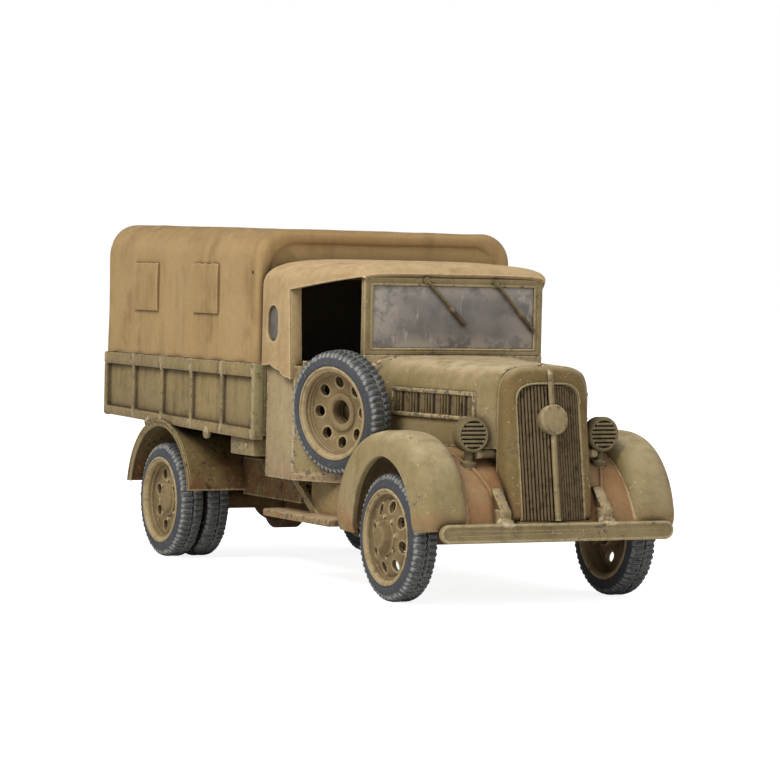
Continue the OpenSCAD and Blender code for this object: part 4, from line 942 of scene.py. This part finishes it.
def makeCabRoof():
    columns = [roof["front"] + v for v in (0, 0.15, 0.5, 1.2, 2.2, 3.4, 4.8, 6.2, 7.6, 9.0, 10.0, 10.6)]
    quarter = 14
    columns += [roof["pillar"] + (roof["rear"] - roof["pillar"]) * i / quarter for i in range(quarter + 1)]
    firstQuarter = len(columns) - quarter - 1
    top, down = 61, 16                                 # points over the top and down each quarter
    points, faces, spots = [], [], {}
    for c, y in enumerate(columns):
        half, peak, low = roofHalf(y), roofTop(y), valance(y)
        nose = 0.25 * max(0, 1 - (y - roof["front"]) / 0.5)
        seam = 0.1 * math.exp(-((y - roof["backSeam"]) / 0.25) ** 2)
        for k in range(top):
            across = math.cos(math.pi * k / (top - 1))
            lift = archLift(across, 0.45, 0.7)
            spots[c, down + k] = len(points)
            z = low + (peak - low + seam) * lift - nose
            points.append((-(half - nose * 0.6 + seam) * across, y, z))
        if c >= firstQuarter:
            t = (c - firstQuarter) / quarter
            edge = quarterLow(t)
            for k in range(down):
                share = k / down
                z = edge + (roof["seam"] - edge) * share
                front = roof["pillar"] - (roof["pillar"] - roof["tip"][0]) * (roof["seam"] - z) / 12.5
                flare = 0.1 * math.sin(t * 9) * (1 - share) ** 2
                for side in (-1, 1):
                    spots[c, k if side < 0 else down + top + down - 1 - k] = len(points)
                    points.append((side * (half + seam + flare), front + (roof["rear"] - front) * t, z))
    rows = top + 2 * down
    for c in range(len(columns) - 1):
        for k in range(rows - 1):
            corners = [(c, k), (c, k + 1), (c + 1, k + 1), (c + 1, k)]
            if all(p in spots for p in corners):
                faces.append([spots[p] for p in corners])
    before = [spots[len(columns) - 1, k] for k in range(rows)]
    edge = [points[k] for k in before]
    for scale, back in ((0.98, 0.12), (0.9, 0.14), (0.6, 0.14), (0.3, 0.14), (0.001, 0.14)):
        now = []
        for x, y, z in edge:
            now.append(len(points))
            points.append((x * scale, roof["rear"] + back, roof["low"] + (z - roof["low"]) * scale))
        for k in range(rows - 1):
            faces.append([before[k], before[k + 1], now[k + 1], now[k]])
        before = now
    piece = thickenPiece(newPiece("cabRoof", points, faces, cabCanvas, 55), roof["thick"], 55)
    ring, r = [], sideSlot["radius"]
    for k in range(32):
        t = 2 * math.pi * k / 32
        straight = sideSlot["straight"] * (1 if math.sin(t) > 0 else -1)
        ring.append((sideSlot["y"] + r * math.cos(t), sideSlot["z"] + straight + r * math.sin(t)))
    slots = [loftPiece("slot", [[(side * x, y, z) for y, z in ring] for x in (17.5, 20.5)], cabCanvas)
             for side in (-1, 1)]
    cutPiece(piece, joinPieces("slots", slots))
    return bevelPiece(piece, 0.2, 3, 50)


settle(makeCabRoof(), "canvas_paint", stands=["cab_canopy"])

# Posts inside the front edge of the rear quarters, and the dark panes behind their slots
def makePost(side):
    rings = []
    section = ((16.9, 0.1), (18.6, 0.04), (18.6, 0.9), (16.9, 0.9))
    for z, lean in ((26.6, 0.72), (30, 0.55), (34, 0.3), (38.0, 0.1), (38.9, 0.1)):
        rings.append([(side * x, roof["pillar"] - lean + y, z) for x, y in section])
    return bevelPiece(loftPiece("post", rings, cabCanvas), 0.18, 2)


settle(joinPieces("cabPosts", [makePost(side) for side in (-1, 1)]), "canvas_paint")
slotPaint = makePaint("slotGrey", (88, 86, 84), (70, 68, 68), (40, 34, 30), (120, 112, 104), washAndShadeShare=0.7,
                      speck=(150, 140, 120), speckShare=0.3)
panes = [sideBox("pane", side, *sideSlot["pane"], slotPaint, 0.08) for side in (-1, 1)]
settle(joinPieces("canopyPanes", panes), "screen_paint", stands=["canopy_windows"])
print("cab roof made")

# Front fenders: a crown of half-round sections along an oval, an apron towards the bonnet and a
# bead on the apron
fender = {"outer": 18.2, "inner": 11.4, "frontReach": 12.0, "rearReach": 14.7, "rise": 13.2, "thick": 0.6,
          "apron": 11.2, "apronInner": 5.4, "start": 172, "end": 0, "across": 34, "along": 64, "well": 8.22}


def crownRadius(a):
    reach = fender["frontReach"] if math.cos(a) < 0 else fender["rearReach"]
    return ((abs(math.cos(a)) / reach) ** 2.3 + (abs(math.sin(a)) / fender["rise"]) ** 2.3) ** (-1 / 2.3)


# How far the crown's lower lips are from the axle
def lipRadius(a):
    return axleZ + 0.75 + 1.3 * max(0, math.sin(a)) ** 2 - (1.2 * math.cos(a) if math.cos(a) > 0 else 0)


def makeFender(name, side, node):
    f = fender
    middle, half = (f["outer"] + f["inner"]) / 2, (f["outer"] - f["inner"]) / 2
    rings = []
    for i in range(f["along"] + 1):
        a = math.radians(f["start"] + (f["end"] - f["start"]) * i / f["along"])
        crown, lip = crownRadius(a), lipRadius(a)
        run = i / f["along"]
        taper = 1 - 0.1 * max(0, (run - 0.93) / 0.07) ** 2 - 0.1 * max(0, (0.05 - run) / 0.05) ** 2

        def arc(shrink):
            line = []
            for k in range(f["across"] + 1):
                c = math.cos(math.pi * k / f["across"])
                rise = (crown - lip - shrink) * archLift(c, 0.55, 0.7) * taper
                line.append((middle + (half - shrink) * c * taper, lip + rise))
            return line

        outer, inner = arc(0), arc(f["thick"])
        ring = outer[:1] + [(outer[0][0] + 0.12, outer[0][1] + 0.1)] + outer[1:] + list(reversed(inner))
        rings.append([(side * x, r * math.cos(a), axleZ + r * math.sin(a)) for x, r in ring])
    shell = loftPiece("crown", rings, fenderKhaki, 60)
    apronRings = []
    for i in range(49):
        a = math.radians(168 - 156 * i / 48)
        apronRings.append([(side * x, r * math.cos(a), axleZ + r * math.sin(a)) for x, r in
                           ((f["apronInner"], f["apron"] - 0.6), (f["inner"] + 0.9, f["apron"] - 0.6),
                            (f["inner"] + 0.9, f["apron"] + 0.25), (f["inner"] + 0.4, f["apron"] + 0.05),
                            (f["inner"], f["apron"]), (f["apronInner"], f["apron"]))])
    apron = loftPiece("apron", apronRings, apronPaint, 40)
    path = []
    for i in range(25):
        t = i / 24
        a = math.radians(112 + 46 * t)
        path.append((side * (10.6 - 3.4 * t ** 0.8), (f["apron"] + 0.06) * math.cos(a),
                     axleZ + (f["apron"] + 0.06) * math.sin(a)))
    bead = barPiece("bead", path, 0.24, apronPaint)
    if side < 0:                                       # the well that the spare tyre stands in
        well = lathePiece("well", [(-1.2, 0), (4.6, 0), (4.6, f["well"]), (-1.2, f["well"])], bodyKhaki, 96)
        movePiece(well, sparePlace @ Matrix.Translation((-tyreSize["halfWidth"] * mm, 0, 0)))
        cutPiece(shell, well)
    bevelPiece(shell, 0.12, 2, 50)
    settle(joinPieces(name, [shell, apron, bead]), "body_paint", stands=[node])


apronPaint = makePaint("apronRust", (160, 134, 98), (154, 112, 72), (92, 56, 28), (196, 168, 128),
                       dust=(164, 116, 76), dustShare=0.6, dustTop=19, dustLow=10, streak=(136, 86, 50),
                       streakShare=0.7, edgeReach=0.16, patchSize=0.2, speck=(204, 168, 120), speckShare=0.5)
makeFender("frontFenderLeft", 1, "front_fender_left")
makeFender("frontFenderRight", -1, "front_fender_right")
print("fenders made")

# Bonnet: steps out behind the radiator shell, widens backwards and flares into the cab
bonnet = {"front": -7.3, "rear": 15.2, "low": 19.25, "topFront": 29.5, "topRear": 30.1, "frontHalf": 7.6,
          "rearHalf": 10.0, "shellHalf": 6.0, "cabHalf": 13.15, "stepLength": 1.6, "flareLength": 2,
          "crown": 4.4, "baseHalf": 5.25, "baseLow": 14.6, "baseHigh": 19.4}


def bonnetHalf(y):
    b = bonnet
    flare = b["rear"] - b["flareLength"]
    t = (y - b["front"]) / (flare - b["front"])
    if t < 1:
        step = (b["frontHalf"] - b["shellHalf"]) * min(1, (y - b["front"]) / b["stepLength"])
        return b["shellHalf"] + step + (b["rearHalf"] - b["frontHalf"]) * t
    return b["rearHalf"] + (b["cabHalf"] - b["rearHalf"]) * ((y - flare) / b["flareLength"]) ** 1.6


def makeBonnet():
    rings = []
    stations = [bonnet["front"] + v for v in (0, 0.25, 0.5, 0.8, 1.1, 1.4, 1.7, 2.2)]
    stations += [bonnet["front"] + 2.2 + i * 1.2 for i in range(1, 16)]
    stations += [13.3, 13.6, 13.9, 14.2, 14.5, 14.8, 15.0, 15.18]
    climb = (bonnet["topRear"] - bonnet["topFront"]) / (bonnet["rear"] - bonnet["front"])
    for y in stations:
        half = bonnetHalf(y)
        top = bonnet["topFront"] + climb * (y - bonnet["front"])
        ring = [(half, y, bonnet["low"])]
        for k in range(49):
            c = math.cos(math.pi * k / 48)
            crease = 0.1 * math.exp(-((abs(c) - 0.9) / 0.03) ** 2)
            ridge = 0.12 * math.exp(-(c * half / 0.35) ** 2) * (y < 14)
            rise = (bonnet["crown"] + ridge) * archLift(c, 0.42, 0.62)
            ring.append((half * c, y, top - bonnet["crown"] + rise + crease))
        ring.append((-half, y, bonnet["low"]))
        rings.append(ring)
    hood = loftPiece("hood", rings, bodyKhaki, 50)
    base = softBox("base", (-bonnet["baseHalf"], bonnet["front"], bonnet["baseLow"]),
                   (bonnet["baseHalf"], bonnet["rear"], bonnet["baseHigh"]), bodyKhaki, 0.1)
    settle(joinPieces("bonnet", [hood, base]), "body_paint", stands=["bonnet"])


makeBonnet()

louvres = {"turn": 6.68, "length": 17.8, "tall": 3.1, "middle": (8.93, 3.9, 24.35), "groups": 5, "bars": 3,
           "barStep": 0.62, "barWide": 0.3}


def makeLouvres(side):
    s = louvres
    half, tall = s["length"] / 2, s["tall"] / 2

    # A box through the wall of the bonnet, over a stretch of its length
    def local(name, back, front, start, end, paint, round, low=-tall, high=tall):
        return toOrigin(softBox(name, (back, start, low), (front, end, high), paint, round))

    back = local("back", -0.4, 0.04, -half, half, grilleDark, 0.05)
    rails = [local("rail", -0.4, 0.42, -half - 0.2, half + 0.2, bodyKhaki, 0.2, z - 0.27, z + 0.27)
             for z in (-tall, tall)]
    ends = [local("end", -0.4, 0.3, y - 0.25, y + 0.25, bodyKhaki, 0.15) for y in (-half, half)]
    step = (s["length"] - 0.5) / s["groups"]
    starts = [0.28 + i * s["barStep"] for i in range(s["bars"])]
    parts = [local("bar", -0.3, 0.24, start, start + s["barWide"], louvreBars, 0.09) for start in starts]
    parts.append(local("plate", -0.3, 0.14, 0.5 + s["bars"] * s["barStep"], step, louvrePlate, 0.06))
    rows = repeatPart("rows", joinPieces("group", parts), s["groups"], louvreBars, start=(0, -half + 0.2, 0),
                      step=(0, step, 0))
    whole = joinPieces("louvres", [back, rows] + rails + ends)
    x, y, z = s["middle"]
    return movePiece(whole, placeAt(side * x, y, z) @ turnBy(-side * s["turn"]) @ facing(side))


louvreSides = [makeLouvres(side) for side in (1, -1)]
settle(joinPieces("bonnetLouvres", louvreSides), "body_paint", stands=["bonnet_louvres"])

# Radiator shell, with a wide bevel round its rim and a slight one in the grille opening
shellKhaki = makePaint("shellKhaki", (132, 112, 72), (114, 93, 53), (48, 34, 18), (214, 196, 154),
                       streak=(98, 76, 42), streakShare=0.8, streakWide=1.6, dust=(140, 96, 60),
                       dustShare=0.5, dustTop=15, dustLow=10, chip=(88, 80, 74), chipShare=0.85, loose=0.6,
                       edgeReach=0.4, edgeShare=0.6, speck=(216, 196, 150), speckShare=0.8,
                       paintedTopShading=(188, 168, 132), paintedTopShadingShare=0.7)
shell = {"back": -7.45, "rimX": 4.8, "rimZ": 27.9, "bevel": 0.75, "inner": 0.18}


def weighShell(p):
    if p.y > shell["back"]:
        return 0
    return 1 if abs(p.x) > shell["rimX"] or p.z > shell["rimZ"] else shell["inner"]


softCopy("radiatorShell", "radiator_shell", shellKhaki, "body_paint", shell["bevel"], 4, 30, weighShell)

# Grille: leans back by the rake and comes to a blunt nose in the middle
grille = {"top": 27.3, "edge": -8.55, "rake": 8.6, "low": 10.7, "nose": 1.3, "half": 4.3, "bars": 9,
          "wide": 0.27, "first": 0.66, "step": 0.42, "trimX": 4.5, "arch": 2.4, "bead": 0.13}


def rakeAt(z):
    return grille["edge"] - (grille["top"] - z) * math.tan(math.radians(grille["rake"]))


def makeGrille():
    g = grille
    slope = g["nose"] / (g["half"] + 0.5)
    back = []
    for z in (g["low"] - 0.15, g["top"] - 0.1):
        y = rakeAt(z) + 0.1
        back.append([(-g["half"], y + 1.9, z), (-g["half"], y + 0.15, z), (0, y - g["nose"] + 0.5, z),
                     (g["half"], y + 0.15, z), (g["half"], y + 1.9, z)])
    parts = [loftPiece("backing", back, grilleDark)]
    foot, head = (Vector((0, rakeAt(z), z)) for z in (g["low"], g["top"] - 0.15))
    upright = [foot + (head - foot) * i / 6 for i in range(7)]
    for side in (1, -1):
        bar = barPiece("bar", upright, g["wide"] / 2, grilleBars, 8, 1.2)
        start = (side * g["first"], slope * (g["first"] - 0.5) + 0.12 - g["nose"], 0)
        row = repeatPart("bars", toOrigin(bar), g["bars"], grilleBars, start=start,
                         step=(side * g["step"], slope * g["step"], 0), wobble=0.02, seed=5)
        parts.append(movePiece(row, placeAt(0, 0, 0)))
    heights = [g["low"] + (g["top"] + 1.4 - g["low"]) * i / 10 for i in range(11)]
    middle = [(0, rakeAt(z) - g["nose"] - 0.02, z) for z in heights]
    parts.append(barPiece("middleBar", middle, 0.54, trimKhaki, 10, 0.7))
    settle(joinPieces("radiatorGrille", parts), "grille_paint", stands=["radiator_grille"])


makeGrille()

# Thin beads that edge the grille opening, and the seam strip over the top of the shell
def makeShellTrims():
    g = grille
    spring = g["top"] - g["arch"]                      # where the opening's arched top begins
    trims = []
    for side in (-1, 1):
        heights = [g["low"] + (spring - g["low"]) * i / 24 for i in range(25)]
        path = [(side * g["trimX"], rakeAt(z) - 0.12, z) for z in heights]
        trims.append(barPiece("trim", path, g["bead"], oliveShade, 8))
    archBead = []
    for i in range(33):
        a = math.pi * i / 32
        x = g["trimX"] * math.copysign(abs(math.cos(a)) ** 0.5, math.cos(a))
        z = spring + (g["arch"] + 0.15) * math.sin(a) ** 0.75
        archBead.append((x, rakeAt(z) - 0.12 - g["nose"] * (1 - clamp((abs(x) - 0.5) / 5.5)), z))
    trims.append(barPiece("trim", archBead, g["bead"], oliveShade, 8))
    steps = [i / 13 for i in range(14)]
    seam = [(0, -9.9 + 2.9 * t, 28.55 + 1.15 * math.sin(t * math.pi / 2) ** 0.7) for t in steps]
    trims.append(barPiece("strip", seam, 0.34, trimKhaki, 10, 0.5))
    settle(joinPieces("shellTrims", trims), "body_paint")


makeShellTrims()

badge = {"height": 23.0, "face": 0.53, "proud": 1.45, "uneven": 0.09}


def makeBadge():
    face = badge["face"]
    disc = lathePiece("badge", [(-0.6, 0), (face, 0), (face + 0.04, 0.8), (face, 1.5), (face + 0.02, 1.66),
                                (face - 0.06, 1.82), (face - 0.23, 1.9), (-0.6, 1.88)], bodyKhaki)
    for v in disc.data.vertices:
        v.co.x += badge["uneven"] * mm * noise.noise(v.co / mm * 1.1) * (v.co.x > 0.3 * mm)
    place = placeAt(0, rakeAt(badge["height"]) - badge["proud"], badge["height"])
    movePiece(disc, place @ turnBy(-grille["rake"], "X") @ turnBy(-90))
    settle(disc, "body_paint", stands=["badge_disc"])


makeBadge()
print("bonnet and radiator made")

lamp = {"x": 9.3, "y": -7.4, "z": 21.0, "radius": 2.2, "rim": 0.58, "slats": 6, "slatStep": 0.52,
        "footY": -6.2, "footZ": 17.28, "ball": 0.6, "ballX": 8.3}


# Headlamp: a bowl with slats across its glass, on a stalk, and a stub with a ball beside the shell
def makeLamp(name, side):
    r, x, footY, footZ = lamp["radius"], side * lamp["x"], lamp["footY"], lamp["footZ"]
    face = r - lamp["rim"]
    outline = [(-0.42, 0), (-0.42, face), (-0.12, face + 0.06), (0.06, face + 0.16), (0.1, face + 0.3),
               (0.02, r - 0.12), (-0.18, r), (-0.5, r), (-0.6, r - 0.08), (-1.6, r - 0.06), (-2.1, r - 0.3),
               (-2.5, r - 0.75), (-2.75, r - 1.25), (-2.88, 0.5), (-2.9, 0)]
    bowl = lathePiece("bowl", outline, lampOlive, 48, 40)
    parts = [movePiece(bowl, placeAt(x, lamp["y"], lamp["z"]) @ turnBy(-90))]
    for i in range(lamp["slats"]):
        z = (i - (lamp["slats"] - 1) / 2) * lamp["slatStep"]
        half = math.sqrt((face + 0.06) ** 2 - z * z)
        path = []
        for k in range(7):
            dip = 0.1 - 0.1 * math.sin(math.pi * k / 6)
            path.append((x - half + 2 * half * k / 6, lamp["y"] + dip, lamp["z"] + z))
        parts.append(barPiece("slat", path, 0.15, lampOlive, 8, 1.1))
    low = (x, footY, footZ - 0.5)
    parts.append(barPiece("stalk", [low, (x, footY, footZ + 0.6), (x, footY - 0.1, lamp["z"] - r + 0.7)],
                          0.55, lampOlive, 14))
    parts.append(barPiece("foot", [low, (x, footY, footZ + 0.3), (x, footY - 0.05, footZ + 0.5)],
                          0.95, lampOlive, 16))
    stubY, stubZ = lamp["y"] + 0.8, footZ + 1.35
    stub = [(side * v, stubY, stubZ) for v in (5.3, 6.4, 7.6, 7.75, lamp["ballX"], lamp["ballX"] + 0.15)]
    parts.append(barPiece("stub", stub, 0.55, lampOlive, 14))
    turns = [math.pi * k / 10 for k in range(11)]
    halfRound = [(lamp["ball"] * math.cos(t), lamp["ball"] * math.sin(t)) for t in turns]
    ball = lathePiece("ball", halfRound, lampOlive, 16)
    parts.append(movePiece(ball, placeAt(side * lamp["ballX"], stubY, stubZ)))
    return joinPieces(name, parts)


for side, label in sides:
    settle(makeLamp("headlamp" + label, side), "lamp_paint", stands=["headlamp_" + label.lower()])

bumper = {"half": 16.45, "low": 8.2, "high": 10.5, "front": -13.1, "back": -12.3, "bow": 3.3, "hornX": 7.2}


# The front bar has round ends that bow slightly backwards, and a raised rim round its face
def makeBumper():
    b = bumper
    radius = (b["high"] - b["low"]) / 2
    middle, straight = b["low"] + radius, b["half"] - radius
    rings = []
    for inset, depth in ((0.1, 0.8), (0, 0.7), (0, 0.22), (0.07, 0.06), (0.18, 0), (0.3, 0.02), (0.38, 0.14),
                         (0.5, 0.18), (0.9, 0.16)):
        r = radius - inset
        outline = []
        for side in (1, -1):
            turns = [math.radians(-90 + 180 * k / 16) for k in range(17)]
            outline += [(side * (straight + r * math.cos(t)), middle + side * r * math.sin(t)) for t in turns]
            outline += [(side * straight * (1 - k / 7), middle + side * r) for k in range(1, 14)]
        rings.append([(x, b["front"] + depth + b["bow"] * max(0, abs(x) / b["half"] - 0.8) ** 2, z)
                      for x, z in outline])
    parts = [loftPiece("bar", rings, trimKhaki, 50)]
    bossShape = [(-0.2, 0), (0.3, 0), (0.42, 0.2), (0.36, 0.5), (0.1, 0.62), (-0.2, 0.62)]
    knobShape = [(-0.2, 0), (0.42, 0), (0.55, 0.35), (0.45, 0.75), (0.2, 0.95), (-0.2, 0.95)]
    for x in (-b["hornX"], b["hornX"]):
        parts.append(softBox("block", (x - 0.85, -12.35, 9.0), (x + 0.85, -10.1, 12.3), trimKhaki, 0.55, 4))
        for name, shape, y, z in (("boss", bossShape, -11.2, 12.25), ("knob", knobShape, -12.2, 10.5)):
            knob = lathePiece(name, shape, trimKhaki, 24)
            parts.append(movePiece(knob, placeAt(x, y, z) @ turnBy(-90, "Y")))
    settle(joinPieces("bumper", parts), "body_paint", stands=["bumper"])


makeBumper()
print("lamps and bumper made")

# Windscreen: the frame's section runs round its four sides, from share 0 outside to 1 inside
screen = {"half": 13.15, "low": 30.12, "high": 40.1, "front": 15.2, "back": 16.1, "sideIn": 1.3,
          "lowIn": 0.88, "highIn": 1.1,
          "wipers": (((-4.25, 39.75), (1.63, 33.91)), ((5.96, 39.58), (11.85, 33.27)))}


def makeScreenFrame():
    s = screen
    front, back = s["front"], s["back"]
    profile = [(0, back), (0, front + 0.12), (0.1, front), (0.5, front), (0.58, front + 0.07),
               (0.68, front + 0.07), (0.76, front - 0.01), (0.92, front - 0.01), (1.0, front + 0.1),
               (1.0, back)]
    points, faces = [], []
    size = len(profile)
    for cx, cz in ((-1, -1), (1, -1), (1, 1), (-1, 1)):
        for share, y in profile:
            x = cx * (s["half"] - s["sideIn"] * share)
            z = s["low"] + s["lowIn"] * share if cz < 0 else s["high"] - s["highIn"] * share
            points.append((x, y, z))
    for c in range(4):
        for k in range(size):
            n = (k + 1) % size
            a, b = c * size, (c + 1) % 4 * size
            faces.append((a + k, a + n, b + n, b + k))
    frameBar = bevelPiece(newPiece("windscreenFrame", points, faces, trimKhaki), 0.08)
    settle(frameBar, "body_paint", stands=["windscreen_frame"])


makeScreenFrame()
screenPaint = makeScreenPaint("screenGrey", (screen["low"] + screen["high"]) / 2, 11.9, 4.1)
softCopy("windscreenPane", "windscreen_pane", screenPaint, "screen_paint", 0.05)


def makeWipers():
    parts = []
    y = screen["front"] - 0.22
    for (x0, z0), (x1, z1) in screen["wipers"]:
        top, run = Vector((x0, y, z0)), Vector((x1 - x0, 0, z1 - z0))
        parts.append(barPiece("arm", [top + run * t for t in (0, 0.3, 0.66)], 0.26, wiperArm, 10, 0.8))
        parts.append(barPiece("blade", [top + run * t for t in (0.6, 0.8, 1)], 0.3, wiperGrey, 10, 0.9))
        shape = [(-0.3, 0), (0.12, 0), (0.2, 0.25), (0.1, 0.45), (-0.3, 0.45)]
        pivot = lathePiece("pivot", shape, wiperArm, 20)
        parts.append(movePiece(pivot, placeAt(x0, y + 0.1, z0) @ turnBy(-90)))
    settle(joinPieces("wipers", parts), "lamp_paint", stands=["wipers"])


makeWipers()
print("windscreen made")

# Camera, lights and floor
cameraSetup = {"azimuth": -27.42, "elevation": 2.094, "roll": 1.167, "distance": 403.6,
               "aim": (-12.333, 9.242, 25.827), "lens": 147.26}


def addCamera(setup):
    a, e, r = (math.radians(setup[k]) for k in ("azimuth", "elevation", "roll"))
    back = Vector((math.sin(a) * math.cos(e), -math.cos(a) * math.cos(e), math.sin(e)))
    right = Vector((math.cos(a), math.sin(a), 0))
    up = back.cross(right)
    side, top = right * math.cos(r) + up * math.sin(r), up * math.cos(r) - right * math.sin(r)
    data = bpy.data.cameras.new("camera")
    data.lens = setup["lens"]
    data.sensor_width = 36
    data.clip_start = 0.01
    camera = bpy.data.objects.new("camera", data)
    camera.matrix_world = Matrix((side, top, back)).transposed().to_4x4()
    camera.location = at(*setup["aim"]) + back * setup["distance"] * mm
    scene.collection.objects.link(camera)
    scene.camera = camera


lights = {"key": {"from": (-230, -70, 300), "size": 150, "watts": 0.95, "colour": (1, 0.97, 0.93)},
          "fill": {"from": (60, -320, 120), "size": 240, "watts": 0.1, "colour": (0.96, 0.97, 1)}}


def addLight(name, setup):
    data = bpy.data.lights.new(name, "AREA")
    data.size = setup["size"] * mm
    data.energy = setup["watts"]
    data.color = setup["colour"]
    light = bpy.data.objects.new(name, data)
    light.location = at(*setup["from"])
    light.rotation_euler = (at(0, 35, 20) - light.location).to_track_quat("-Z", "Y").to_euler()
    scene.collection.objects.link(light)


def addWorld(strength):
    world = bpy.data.worlds.new("paleRoom")
    scene.world = world
    world.use_nodes = True
    tree = world.node_tree
    back = tree.nodes["Background"]
    back.inputs["Color"].default_value = (1, 1, 1, 1)
    rays, seen = tree.nodes.new("ShaderNodeLightPath"), tree.nodes.new("ShaderNodeMapRange")
    seen.inputs["To Min"].default_value = strength
    seen.inputs["To Max"].default_value = 1
    tree.links.new(rays.outputs["Is Camera Ray"], seen.inputs["Value"])
    tree.links.new(seen.outputs[0], back.inputs["Strength"])


# A white floor that takes shadows and glows a little for the camera alone
def addFloor(size, own):
    mesh = bpy.data.meshes.new("floor")
    mesh.from_pydata([(-size, -size, 0), (size, -size, 0), (size, size, 0), (-size, size, 0)], [],
                     [(0, 1, 2, 3)])
    paint = bpy.data.materials.new("whiteFloor")
    paint.use_nodes = True
    tree = paint.node_tree
    tree.nodes.clear()
    out, add = tree.nodes.new("ShaderNodeOutputMaterial"), tree.nodes.new("ShaderNodeAddShader")
    plain, glow = tree.nodes.new("ShaderNodeBsdfDiffuse"), tree.nodes.new("ShaderNodeEmission")
    rays = tree.nodes.new("ShaderNodeLightPath")
    scale = tree.nodes.new("ShaderNodeMath")
    scale.operation = "MULTIPLY"
    scale.inputs[1].default_value = own
    plain.inputs["Color"].default_value = (0.8, 0.8, 0.8, 1)
    tree.links.new(rays.outputs["Is Camera Ray"], scale.inputs[0])
    tree.links.new(scale.outputs[0], glow.inputs["Strength"])
    tree.links.new(plain.outputs[0], add.inputs[0])
    tree.links.new(glow.outputs[0], add.inputs[1])
    tree.links.new(add.outputs[0], out.inputs["Surface"])
    addPiece("floor", mesh, paint)


addCamera(cameraSetup)
for name, setup in lights.items():
    addLight(name, setup)
addWorld(strength=0.5)
addFloor(size=3, own=0.85)
scene.view_settings.view_transform = "Standard"
print("stage made")
